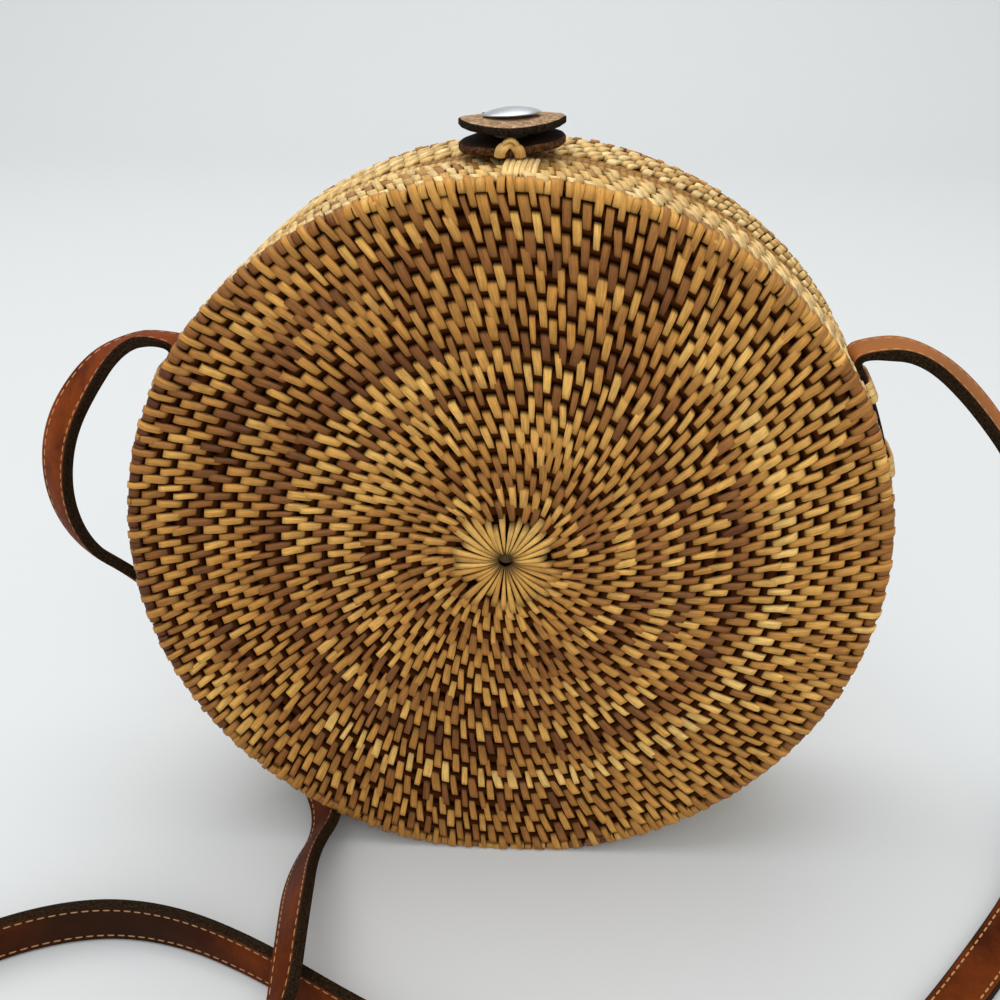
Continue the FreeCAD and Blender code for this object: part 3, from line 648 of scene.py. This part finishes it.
# Lining: a cloth cup just inside the wall, from the hem along the band, round the corner and over the face,
# with shallow wrinkles that are the sum of three waves; the hem tucks in behind the lip and clears the ties
# of the hinge
def addLining(side, name, body, replaces):
    radius = bag["radius"] - weave["wall"] - lining["gap"]
    deep = bag["halfDepth"] - weave["wall"] - lining["gap"]
    corner, wallEnd = lining["corner"], deep - lining["corner"]
    onWall, onFace = lining["wallSteps"], lining["faceSteps"]
    turn = np.linspace(0, math.pi / 2, lining["cornerSteps"])
    ring = np.concatenate([np.full(onWall, radius), radius - corner + corner * np.cos(turn),
                           np.linspace(radius - corner, 0, onFace + 1)[1:]])
    depth = np.concatenate([np.linspace(lining["hem"], wallEnd, onWall), wallEnd + corner * np.sin(turn),
                            np.full(onFace, deep)])
    tilt = np.concatenate([np.zeros(onWall), turn, np.full(onFace, math.pi / 2)])[:, None]
    angle = np.linspace(0, fullTurn, lining["around"], endpoint=False)[None, :]
    nearHem = np.clip((wallEnd - depth) / (wallEnd - lining["hem"]), 0, 1)[:, None]
    raised = (lining["hingeHem"] - lining["hem"]) * nearHem * hingeShare(angle)
    run = (np.concatenate([[0], np.cumsum(np.hypot(np.diff(ring), np.diff(depth)))]))[:, None]
    wave = fullTurn / lining["wrinkleLength"]
    ripple = np.sin(wave * run + 3 * angle) + np.sin(1.7 * wave * run - 7 * angle) + \
        np.sin(11 * angle + 40 * run)
    inward = lining["wrinkle"] * (1 + ripple / 3) * np.clip(ring[:, None] / lining["calm"], 0, 1)
    sheets = []
    for thick in (0, lining["cloth"]):
        offset = inward + thick
        sheets.append(leaned(ring[:, None] - offset * np.cos(tilt),
                             depth[:, None] + raised - offset * np.sin(tilt),
                             angle + 0 * run, side, lining["floor"]))
    points = np.vstack([sheets[0], sheets[1][::-1]])
    flat = np.stack([run / mm + 0 * angle, angle * radius / mm + 0 * run], axis=-1)
    uv = np.vstack([flat, flat[::-1]])
    quads = gridQuads(2 * len(ring), lining["around"], closeRows=True, closeColumns=True)
    piece = addPiece(name, points, quads, body, [liningMaterial], uv, None, replaces, closed=True)


for side, word, body in halves:
    addLining(side, word + "_lining_cloth", body, [word + "_lining"])
print("lining sewn")


# Frames along a path: its direction by differences, a given sideways one made square to it, and the third
def pathFrames(path, sideways):
    ahead = np.gradient(path, axis=0)
    ahead = ahead / np.linalg.norm(ahead, axis=1, keepdims=True)
    across = sideways - ahead * np.sum(sideways * ahead, axis=1, keepdims=True)
    across = across / np.linalg.norm(across, axis=1, keepdims=True)
    return across, np.cross(ahead, across)


# Profile carried along a path: each path point gets the section, set out along its two cross directions and
# stretched along them by factors of its own
def sweep(path, sideways, section, wide=1.0, thick=1.0):
    across, through = pathFrames(path, sideways)
    across = across * np.broadcast_to(wide, len(path))[:, None]
    through = through * np.broadcast_to(thick, len(path))[:, None]
    return path[:, None] + across[:, None] * section[None, :, :1] + through[:, None] * section[None, :, 1:]


# Factors along a path that draw its section in to a point at both ends
def pointedEnds(steps):
    full = np.ones(steps)
    full[[0, -1]] = 0
    return full


# A circle's cosine or sine raised to a small power, which squares the circle into a superellipse
def squared(value, power):
    return np.sign(value) * np.abs(value) ** power


strap = {
    "width": 12.0 * mm, "thick": 3.1 * mm, "edgeRound": 0.35 * mm, "y": -9.5 * mm,
    "endThick": 2.0 * mm, "endLength": 42 * mm, "endTaper": 9 * mm,  # a single layer under the keepers
    "crease": 0.18 * mm, "creaseHalf": 0.6 * mm, "swell": 0.1 * mm,  # pulled in along the stitches
    "plyHalf": 0.25 * mm, "plyDepth": 0.15 * mm,                     # line where the two layers meet
    "stitchInset": 1.5 * mm, "stitchPitch": 2.9 * mm, "stitchLength": 2.25 * mm, "stitchStart": 4 * mm,
    "threadWidth": 0.6 * mm, "threadRise": 0.22 * mm, "threadSunk": 0.22 * mm, "threadRound": 0.7,
}
# The strap's route, close to the one in the part, in metres, with the way its width points at each place
strapRoute = [
    ((-0.0980, -0.0095, 0.1118), (0, 1, 0)),
    ((-0.0952, -0.0095, 0.1246), (0, 1, 0)),
    ((-0.0910, -0.0095, 0.1373), (0, 1, 0)),
    ((-0.0871, -0.0095, 0.1458), (0, 1, 0)),
    ((-0.0848, -0.0095, 0.1502), (0, 1, -0.1)),
    ((-0.0904, -0.0095, 0.1516), (0, 1, -0.2)),
    ((-0.0976, -0.0096, 0.1508), (-0.15, 1, -0.2)),
    ((-0.1092, -0.0098, 0.1424), (-0.55, 0.8, 0.1)),
    ((-0.1204, -0.0108, 0.1255), (-0.75, 0.66, 0.08)),
    ((-0.1238, -0.0105, 0.1060), (-0.72, 0.7, -0.05)),
    ((-0.1193, -0.0090, 0.0895), (-0.6, 0.78, -0.2)),
    ((-0.1088, -0.0055, 0.0797), (-0.45, 0.8, -0.4)),
    ((-0.1009, 0.0030, 0.0655), (-0.45, 0.75, -0.45)),
    ((-0.0886, 0.0050, 0.0360), (-0.6, 0.7, -0.4)),
    ((-0.0730, 0.0020, 0.0158), (-0.7, 0.5, -0.5)),
    ((-0.0590, -0.0040, 0.0078), (-0.8, 0.2, -0.6)),
    ((-0.0516, -0.0235, 0.0060), (-0.62, 0, -0.78)),
    ((-0.0560, -0.0460, 0.0095), (-0.6, 0, -0.8)),
    ((-0.0510, -0.0800, 0.0230), (-0.62, 0, -0.78)),
    ((-0.0508, -0.1060, 0.0110), (-0.5, 0, -0.87)),
    ((-0.0610, -0.1310, 0.0066), (-0.35, 0.1, -0.9)),
    ((-0.0820, -0.1580, 0.0063), (0, 0, -1)),
    ((-0.1130, -0.1690, 0.0063), (0, 0, -1)),
    ((-0.1450, -0.1580, 0.0063), (0, 0, -1)),
    ((-0.1620, -0.1290, 0.0063), (0, 0, -1)),
    ((-0.1570, -0.0970, 0.0063), (0, 0, -1)),
    ((-0.1370, -0.0770, 0.0063), (0, 0, -1)),
    ((-0.1120, -0.0660, 0.0063), (0, 0, -1)),
    ((-0.0880, -0.0670, 0.0063), (0, 0, -1)),
    ((-0.0620, -0.0780, 0.0063), (0, 0, -1)),
    ((-0.0330, -0.0960, 0.0063), (0, 0, -1)),
    ((0.0000, -0.1130, 0.0063), (0, 0, -1)),
    ((0.0400, -0.1260, 0.0063), (-0.1, 0.3, -0.9)),
    ((0.0800, -0.1190, 0.0061), (-0.3, 0.55, -0.6)),
    ((0.1080, -0.0920, 0.0034), (-0.7, 0.6, -0.15)),
    ((0.1310, -0.0640, 0.0020), (-0.78, 0.62, 0)),
    ((0.1490, -0.0410, 0.0034), (-0.7, 0.7, 0)),
    ((0.1600, -0.0240, 0.0240), (-0.4, 0.9, 0)),
    ((0.1590, -0.0140, 0.0570), (0, 1, -0.1)),
    ((0.1485, -0.0095, 0.0930), (0.25, 1, -0.1)),
    ((0.1330, -0.0095, 0.1225), (0.3, 0.95, 0)),
    ((0.1170, -0.0095, 0.1420), (0.25, 0.95, 0.1)),
    ((0.1026, -0.0095, 0.1523), (0, 1, 0)),
    ((0.0909, -0.0095, 0.1523), (0, 1, -0.05)),
    ((0.0863, -0.0095, 0.1506), (0, 1, -0.05)),
    ((0.0889, -0.0095, 0.1458), (0, 1, 0)),
    ((0.0927, -0.0095, 0.1373), (0, 1, 0)),
    ((0.0970, -0.0095, 0.1246), (0, 1, 0)),
    ((0.0999, -0.0095, 0.1118), (0, 1, 0)),
]


# Points of a smooth NURBS line with the given points as its controls
def smoothLine(points):
    curve = bpy.data.curves.new("smoothLine", "CURVE")
    curve.dimensions = "3D"
    spline = curve.splines.new("NURBS")
    spline.points.add(len(points) - 1)
    spline.points.foreach_set("co", np.hstack([points, np.ones((len(points), 1))]).ravel())
    spline.order_u = 3
    spline.use_endpoint_u = True
    spline.resolution_u = 14
    line = bpy.data.objects.new("smoothLine", curve)
    mesh = bpy.data.meshes.new_from_object(line)
    found = np.empty(3 * len(mesh.vertices))
    mesh.vertices.foreach_get("co", found)
    bpy.data.objects.remove(line)
    bpy.data.curves.remove(curve)
    bpy.data.meshes.remove(mesh)
    return found.reshape(-1, 3)


# Strap section: a flat rectangle with eased corners, a shallow crease under each row of stitches and a line
# along each edge where the two layers meet
def strapSection():
    half, thick, ease = strap["width"] / 2, strap["thick"] / 2, strap["edgeRound"]
    seam = half - strap["stitchInset"]
    faceHalf = [(seam - strap["creaseHalf"], 0), (seam, -strap["crease"]), (seam + strap["creaseHalf"], 0),
                (half - ease, 0)]
    top = [(-a, thick + b) for a, b in reversed(faceHalf)] + [(0.0, thick + strap["swell"])] + \
          [(a, thick + b) for a, b in faceHalf]
    edge = [(half, thick - ease), (half, strap["plyHalf"]), (half - strap["plyDepth"], 0.0),
            (half, -strap["plyHalf"]), (half, ease - thick)]
    return np.array(top + edge + [(-a, -b) for a, b in top + edge]), len(top), len(edge)


places = np.array([place for place, _ in strapRoute])
ways = np.array([np.array(way) / np.linalg.norm(way) for _, way in strapRoute])
strapPath = smoothLine(places)
strapSide = smoothLine(places + ways * strap["width"] / 2) - strapPath
section, faceCount, edgeCount = strapSection()
distance = np.concatenate([[0], np.cumsum(np.linalg.norm(np.diff(strapPath, axis=0), axis=1))])
strapLength = distance[-1]
fromEnd = np.minimum(distance, strapLength - distance)
grown = np.clip((fromEnd - strap["endLength"]) / strap["endTaper"], 0, 1)
thickness = strap["endThick"] + (strap["thick"] - strap["endThick"]) * grown ** 2 * (3 - 2 * grown)
strapPoints = sweep(strapPath, strapSide, section, thick=thickness / strap["thick"])
quads = gridQuads(len(strapPath), len(section), closeColumns=True)
column = np.tile(np.arange(len(section)), len(strapPath) - 1)
onEdge = (column % (faceCount + edgeCount)) >= faceCount - 1
strapPiece = addPiece("strap_leather", strapPoints, quads[:, ::-1], "front_half",
                      [strapMaterial, edgeMaterial], None, None,
                      ["strap", "strap_end_left", "strap_end_right"], materialIndex=onEdge.astype(int))


# Flat caps over the strap's two cut ends, one face round each end's section
def closeEnds(piece, ring, count):
    work = bmesh.new()
    work.from_mesh(piece.data)
    work.verts.ensure_lookup_table()
    for start in (0, (count - 1) * ring):
        cap = work.faces.new([work.verts[start + i] for i in range(ring)])
        cap.material_index = 1
    bmesh.ops.recalc_face_normals(work, faces=work.faces)
    work.to_mesh(piece.data)
    work.free()


closeEnds(strapPiece, len(section), len(strapPath))


# Stitches: short threads along two lines on each face, each a low arch along its length and across
def strapStitches():
    starts = np.arange(strap["stitchStart"], strapLength - strap["stitchStart"], strap["stitchPitch"])
    u = np.linspace(-1, 1, 6)
    v = np.array([-1.0, -0.4, 0.4, 1.0])
    at = starts[:, None] + (u[None, :] + 1) / 2 * strap["stitchLength"]
    across, through = pathFrames(strapPath, strapSide)

    def along(values):
        return np.stack([np.interp(at, distance, values[:, k]) for k in range(3)], axis=-1)

    middle, sideway, outward = along(strapPath), along(across), along(through)
    half = np.interp(at, distance, thickness / 2)
    seam = strap["width"] / 2 - strap["stitchInset"]
    domed = (1 - u[:, None] ** 4) * (1 - strap["threadRound"] * v[None, :] ** 2)
    arch = strap["threadRise"] * domed - strap["threadSunk"]
    uv = np.stack([at[:, :, None] / mm + 0 * v, v * strap["threadWidth"] / mm + 0 * at[:, :, None]], axis=-1)
    points, coords, faces = [], [], []
    for line in (-seam, seam):
        for face in (-1, 1):
            wide = line + v * strap["threadWidth"] / 2
            lift = face * (half[:, :, None] + arch)
            grid = middle[:, :, None] + sideway[:, :, None] * wide[None, None, :, None] + \
                outward[:, :, None] * lift[..., None]
            one = repeatedQuads(len(starts), len(u), len(v)) + sum(len(p) for p in points)
            faces.append(one[:, ::-1] if face < 0 else one)
            points.append(grid.reshape(-1, 3))
            coords.append(uv.reshape(-1, 2))
    return np.vstack(points), np.vstack(coords), np.vstack(faces)


threadPoints, threadUv, threadQuads = strapStitches()
threadPiece = addPiece("strap_stitching", threadPoints, threadQuads, "front_half",
                       [threadMaterial], threadUv)
print("strap length", round(float(strapLength), 3))

strand = {"around": 10, "grainLength": 12, "grainStep": 37}   # the last two in millimetres of its streaks


# Strands of split rattan along paths: an oval section carried along each and drawn in to a point at both ends
def addStrands(name, body, paths, sideways, width, thick, bias, replaces):
    around = np.linspace(0, fullTurn, strand["around"], endpoint=False)
    oval = np.stack([np.cos(around) * width / 2, np.sin(around) * thick / 2], axis=-1)
    count, steps = paths.shape[:2]
    full = pointedEnds(steps)
    points = np.stack([sweep(path, side, oval, full, full) for path, side in zip(paths, sideways)])
    quads = repeatedQuads(count, steps, len(around), closeColumns=True)
    tone = np.repeat(rowTones(count, bandTones, bias), steps * len(around), axis=0)
    reach = np.linspace(0, 1, steps)[None, :, None] * strand["grainLength"]
    reach = reach + strand["grainStep"] * np.arange(count)[:, None, None]
    uv = np.stack([reach + 0 * around, around * width / 2 / mm + 0 * reach], axis=-1)
    addPiece(name, points, quads, body, [stripMaterial], uv, tone, replaces, closed=True)


keeper = {
    "angles": (14.0, 26.4),          # degrees above the axis
    "strands": 3, "step": 1.9 * mm, "width": 2.1 * mm, "thick": 1.1 * mm, "tone": -0.1,
    "sideRoom": 0.9 * mm, "topRoom": 0.5 * mm, "sunk": 0.8 * mm, "squareness": 0.4, "steps": 21,
}


# Keepers of the strap's ends: square arches over the strap, a few strands each. Across the strap and away
# from the band a strand follows a superellipse, so that it lies flat on the leather and turns down close
# beside it.
def addKeepers(name, turned, replaces):
    bend = np.linspace(0, math.pi, keeper["steps"])
    across = strap["width"] / 2 + keeper["sideRoom"]
    high = keeper["sunk"] + strap["endThick"] - bag["press"] + keeper["thick"] / 2 + keeper["topRoom"]
    depth = -strap["y"] + across * squared(np.cos(bend), keeper["squareness"])
    radius = bag["radius"] - keeper["sunk"] + high * np.sin(bend) ** keeper["squareness"]
    paths, sideways = [], []
    for middle in np.radians(keeper["angles"]):
        for number in range(keeper["strands"]):
            angle = middle + (number - (keeper["strands"] - 1) / 2) * keeper["step"] / bag["radius"]
            angle = math.pi - angle if turned else angle
            paths.append(leaned(radius, depth, angle, -1, 0.0))
            sideways.append(np.tile([-math.sin(angle), 0, math.cos(angle)], (len(bend), 1)))
    addStrands(name, "front_half", np.stack(paths), np.stack(sideways), keeper["width"], keeper["thick"],
               keeper["tone"], replaces)


addKeepers("keepers_right", False, ["strap_loops_right"])
addKeepers("keepers_left", True, ["strap_loops_left"])
print("keepers wound")

discLow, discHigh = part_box("clasp_disc")
baseLow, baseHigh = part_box("clasp_base")
clasp = {
    "radius": (discHigh.x - discLow.x) / 2,
    "y": discLow.y + (discHigh.x - discLow.x) / 2,
    "top": discHigh.z,
    "baseTop": baseHigh.z,
    "leather": baseHigh.z - baseLow.z,
    "tilt": math.radians(1.7),       # the discs sit a little askew, the right side up
    "pitch": math.radians(5.0),      # and the upper one leans back, with its front edge bent down
    "bend": 1.35 * mm,
    "capTilt": math.radians(3.6), "capGap": 0.4 * mm,
    "baseTilt": math.radians(4.4),
    "wave": 0.14 * mm, "ragged": 0.012,
    "around": 96, "edgeRow": 5,                # rings from this one on are the cut edge and the underside
    "pull": 0.9 * mm, "pullWidth": 4.2 * mm,   # the base is drawn down and in where its tie holds it
    "pullIn": 1.4 * mm, "pullFrom": 3 * mm, "pullRun": 9 * mm,
    "droop": 0.7 * mm,                         # and bends down over the band at both sides
}
# Profile of a disc from the middle of its top to that of its underside: shares of its radius and thickness
discRing = np.array([0, 0.3, 0.55, 0.78, 0.92, 0.975, 1.0, 1.0, 0.975, 0.8, 0.4, 0])
discLevel = np.array([0, 0, 0, 0, 0, -0.05, -0.2, -0.82, -0.97, -1, -1, -1])


# Leather disc: rings of points over the top, round the cut edge and back under it, its rim a little ragged
# and wavy. The shape given moves each point back and up by its place on the disc.
def discGrid(shape, tilt):
    edge = clasp["radius"]
    ring = discRing * edge
    level = discLevel * clasp["leather"]
    angle = np.linspace(0, fullTurn, clasp["around"], endpoint=False)[None, :]
    ragged = np.sin(3 * angle + 1) + 0.7 * np.sin(7 * angle) + 0.5 * np.sin(16 * angle + 2)
    radius = ring[:, None] * (1 + clasp["ragged"] * ragged * (ring[:, None] / edge) ** 3)
    x = radius * np.cos(angle)
    y = radius * np.sin(angle)
    wave = clasp["wave"] * np.sin(2 * angle + 0.6) * (radius / edge) ** 2
    back, up = shape(x, y)
    z = level[:, None] + wave + up + x * math.tan(tilt)
    quads = gridQuads(len(ring), clasp["around"], closeColumns=True)
    onEdge = np.repeat(np.arange(len(ring) - 1) >= clasp["edgeRow"], clasp["around"])
    return np.stack([x, y + back + clasp["y"], z], axis=-1), quads, onEdge


tongue = {
    "start": 0.8,                                  # share of the disc's radius where it leaves the disc
    "run": 7.4 * mm, "fall": 4.9 * mm, "fallPower": 1.3, "steps": 9, "around": 16, "squareness": 0.3,
    "strips": ((-6.5 * mm, 2.9 * mm), (0.0, 5.4 * mm), (6.5 * mm, 2.9 * mm)),   # middle and width of each
}


# Upper disc with its tongue, which runs down to the rings at the back and is slit where they pass through.
# The disc leans back, and in front of its middle it bends down by the square of the distance.
def addUpperDisc():
    def bent(x, y):
        return 0, -y * math.tan(clasp["pitch"]) - clasp["bend"] * np.clip(-y / clasp["radius"], 0, 1) ** 2

    points, quads, onEdge = discGrid(bent, clasp["tilt"])
    points = (points + [0, 0, clasp["top"]]).reshape(-1, 3)
    reach = np.linspace(0, 1, tongue["steps"])
    thick = clasp["leather"]
    y = clasp["y"] + clasp["radius"] * tongue["start"] + reach * tongue["run"]
    sunk = tongue["start"] * clasp["radius"] * math.tan(clasp["pitch"])
    z = clasp["top"] - thick / 2 - sunk - (tongue["fall"] - sunk) * reach ** tongue["fallPower"]
    path = np.stack([0 * y, y, z], axis=-1)
    full = pointedEnds(len(reach))
    around = np.linspace(0, fullTurn, tongue["around"], endpoint=False)
    for middle, width in tongue["strips"]:
        cross = np.stack([squared(np.cos(around), tongue["squareness"]) * width / 2,
                          squared(np.sin(around), tongue["squareness"]) * thick / 2], axis=-1)
        strip = sweep(path + [middle, 0, 0], np.tile([1.0, 0, 0], (len(path), 1)), cross, full, full)
        quads = np.vstack([quads, gridQuads(len(path), len(around), closeColumns=True) + len(points)])
        points = np.vstack([points, strip.reshape(-1, 3)])
        onEdge = np.append(onEdge, np.ones(len(around) * (len(path) - 1), bool))
    addPiece("clasp_upper_leather", points, quads, "clasp_flap",
             [discMaterial, discEdgeMaterial], None, None, ["clasp_disc"], closed=True,
             materialIndex=onEdge.astype(int))


# Base leather: drawn down and in at the front where the tie crosses its edge, by a bell curve across, and
# bent down at both sides by the square of the distance from the middle
def addBase():
    def saddle(x, y):
        ahead = np.clip((-y - clasp["pullFrom"]) / clasp["pullRun"], 0, 1)
        held = np.exp(-(x / clasp["pullWidth"]) ** 2) * ahead
        return clasp["pullIn"] * held, -clasp["pull"] * held - clasp["droop"] * (x / clasp["radius"]) ** 2

    points, quads, onEdge = discGrid(saddle, clasp["baseTilt"])
    addPiece("clasp_base_leather", points + [0, 0, clasp["baseTop"]], quads, "front_half",
             [shadedBaseMaterial, baseEdgeMaterial], None, None, ["clasp_base"], closed=True,
             materialIndex=onEdge.astype(int))


# Radius and rise of the snap cap's dome, its rolled rim and its plain underside
capRadius = np.array([0, 1.6, 3.2, 4.6, 5.8, 6.6, 7.05, 7.2, 7.1, 6.7, 5.4, 5.2, 0]) * mm
capRise = np.array([1.95, 1.88, 1.66, 1.37, 1.03, 0.73, 0.52, 0.34, 0.16, 0.06, 0.02, -0.6, -0.6]) * mm
capAround = 72


# Snap cap: a shallow dome with a rolled rim, turned about its axis and tilted with the disc
def addCap():
    angle = np.linspace(0, fullTurn, capAround, endpoint=False)[None, :]
    x, y = capRadius[:, None] * np.cos(angle), capRadius[:, None] * np.sin(angle)
    z = clasp["top"] + clasp["capGap"] + capRise[:, None] + x * math.tan(clasp["capTilt"]) - \
        y * math.tan(clasp["pitch"])
    points = np.stack([x, clasp["y"] + y, z], axis=-1)
    addPiece("snap_cap_dome", points, gridQuads(len(capRadius), capAround, closeColumns=True), "clasp_flap",
             [steelMaterial], None, None, ["snap_cap"], closed=True)


addUpperDisc()
addBase()
addCap()

# Tie through the base's front edge: two legs that part from one hole, and a turn over both; points in
# millimetres from the middle of the bag, with heights from the base's top where the tie draws it down
tie = {"width": 2.7 * mm, "thick": 1.2 * mm, "tone": -0.25, "drawn": 0.8}
tiePaths = [
    [(1.0, -9.6, -1.2), (1.0, -10.6, 0.9), (0.4, -12.2, 1.3),
     (-1.3, -13.6, 0.6), (-2.2, -14.1, -0.5), (-2.3, -13.4, -2.0)],
    [(-0.8, -9.6, -1.2), (-0.8, -10.6, 0.7), (0.2, -12.0, 1.0),
     (1.6, -13.4, 0.4), (2.5, -14.0, -0.5), (2.6, -13.4, -2.0)],
    [(-2.0, -12.0, -0.9), (-1.6, -12.8, 0.8), (-0.3, -13.1, 2.0),
     (0.9, -12.9, 1.9), (1.9, -12.6, 0.7), (2.3, -11.8, -0.9)],
]
tieLevel = clasp["baseTop"] - tie["drawn"] * clasp["pull"]
ties = np.stack([smoothLine(np.array(path) * mm + [0, 0, tieLevel]) for path in tiePaths])
tieSide = np.tile([1.0, 0, 0], (*ties.shape[:2], 1))
tieSide[2] = [0, 1.0, 0]
addStrands("clasp_tie", "front_half", ties, tieSide, tie["width"], tie["thick"], tie["tone"], ["base_ties"])

# Close strips laid along the band from under the base to the corner, which hold its tie
anchor = {"width": 1.4 * mm, "thick": 1.0 * mm, "tone": 0.1, "start": 0.6 * mm, "end": 15.5 * mm}
anchorX = np.linspace(-1.1, 5.7, 6) * mm
anchorLift = np.array([-1.6, -0.2, 0.3, 0.5, 0.55, 0.55, 0.55, 0.55, 0.55, 0.55, 0.5, -0.4]) * mm
anchorRun = np.linspace(bandStart + anchor["start"], bandStart + anchor["end"], len(anchorLift))
anchors = np.stack([shellPoint(anchorRun, math.pi / 2 - x / bag["radius"], anchorLift, -1) for x in anchorX])
addStrands("clasp_anchor_strips", "front_half", anchors, np.tile([1.0, 0, 0], (*anchors.shape[:2], 1)),
           anchor["width"], anchor["thick"], anchor["tone"], ["clasp_anchor"])

# The part's own solids that stay to be seen get the finish of what they are
plainNodes = {"hinge_ties": rodMaterial, "flap_rings": rodMaterial, "snap_stud": dullMaterial,
              "stud_rivet": dullMaterial, "snap_socket": dullMaterial}
for node, material in plainNodes.items():
    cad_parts[node].data.materials.clear()
    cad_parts[node].data.materials.append(material)
print("clasp dressed")

# Camera as fitted to the photograph's rims: place in metres, turns in degrees, lens and sensor in millimetres
view = {"place": (0.01253, -0.31715, 0.26409), "yaw": -2.75, "pitch": -27.03, "roll": 0.1, "lens": 46.02,
        "sensor": 36.0, "nearest": 0.01}
yaw, pitchDown, roll = (math.radians(view[key]) for key in ("yaw", "pitch", "roll"))
turnMatrix = Matrix.Rotation(-yaw, 4, "Z") @ Matrix.Rotation(math.pi / 2 + pitchDown, 4, "X")
camera = bpy.data.objects.new("camera", bpy.data.cameras.new("camera"))
camera.data.lens = view["lens"]
camera.data.sensor_width = view["sensor"]
camera.data.sensor_fit = "HORIZONTAL"
camera.data.clip_start = view["nearest"]
camera.matrix_world = Matrix.Translation(view["place"]) @ turnMatrix @ Matrix.Rotation(roll, 4, "Z")
bpy.context.scene.collection.objects.link(camera)
bpy.context.scene.camera = camera

stage = {"floor": "#C9CBCB", "reach": 3.0, "wallY": 1.4, "sweep": 0.5, "sky": "#F2F5F8", "skyStrength": 0.74,
         "aim": (0.0, 0.0, 0.09)}


# Floor and backdrop in one sheet: flat, then a quarter circle up into a wall
def addStage():
    turn = np.linspace(0, math.pi / 2, 16)
    y = np.concatenate([[-stage["reach"]], stage["wallY"] - stage["sweep"] + stage["sweep"] * np.sin(turn),
                        [stage["wallY"]]])
    z = np.concatenate([[0], stage["sweep"] * (1 - np.cos(turn)), [stage["reach"]]])
    x = np.array([-stage["reach"], stage["reach"]])
    points = np.stack([x[None, :] + 0 * y[:, None], y[:, None] + 0 * x, z[:, None] + 0 * x], axis=-1)
    mesh = bpy.data.meshes.new("stage")
    mesh.from_pydata(points.reshape(-1, 3).tolist(), [], gridQuads(len(y), 2).tolist())
    material, tree, shader = newMaterial("matte paper sweep")
    wire(tree, shader, {"Base Color": linear(stage["floor"]), "Roughness": 0.9})
    mesh.materials.append(material)
    mesh.polygons.foreach_set("use_smooth", np.ones(len(mesh.polygons), bool))
    sheet = bpy.data.objects.new("stage", mesh)
    bpy.context.scene.collection.objects.link(sheet)


addStage()


# Soft box: a square lamp at a place, turned to look at the bag
def addLamp(name, place, size, power):
    lamp = bpy.data.lights.new(name, "AREA")
    lamp.size = size
    lamp.energy = power
    holder = bpy.data.objects.new(name, lamp)
    aim = np.array(stage["aim"]) - np.array(place)
    back = -aim / np.linalg.norm(aim)
    right = np.cross([0, 0, 1], back)
    right = right / np.linalg.norm(right)
    axes = np.stack([right, np.cross(back, right), back], 1)
    holder.matrix_world = Matrix([[*row, p] for row, p in zip(axes, place)] + [[0, 0, 0, 1]])
    bpy.context.scene.collection.objects.link(holder)


addLamp("key", (-0.15, 0.25, 1.3), size=1.7, power=18.0)
addLamp("fill", (0.1, -1.3, 0.9), size=1.2, power=9.0)
world = bpy.data.worlds.new("soft daylight")
world.use_nodes = True
wire(world.node_tree, world.node_tree.nodes["Background"],
     {"Color": linear(stage["sky"]), "Strength": stage["skyStrength"]})
bpy.context.scene.world = world
bpy.context.scene.view_settings.view_transform = "Standard"
print("stage lit")
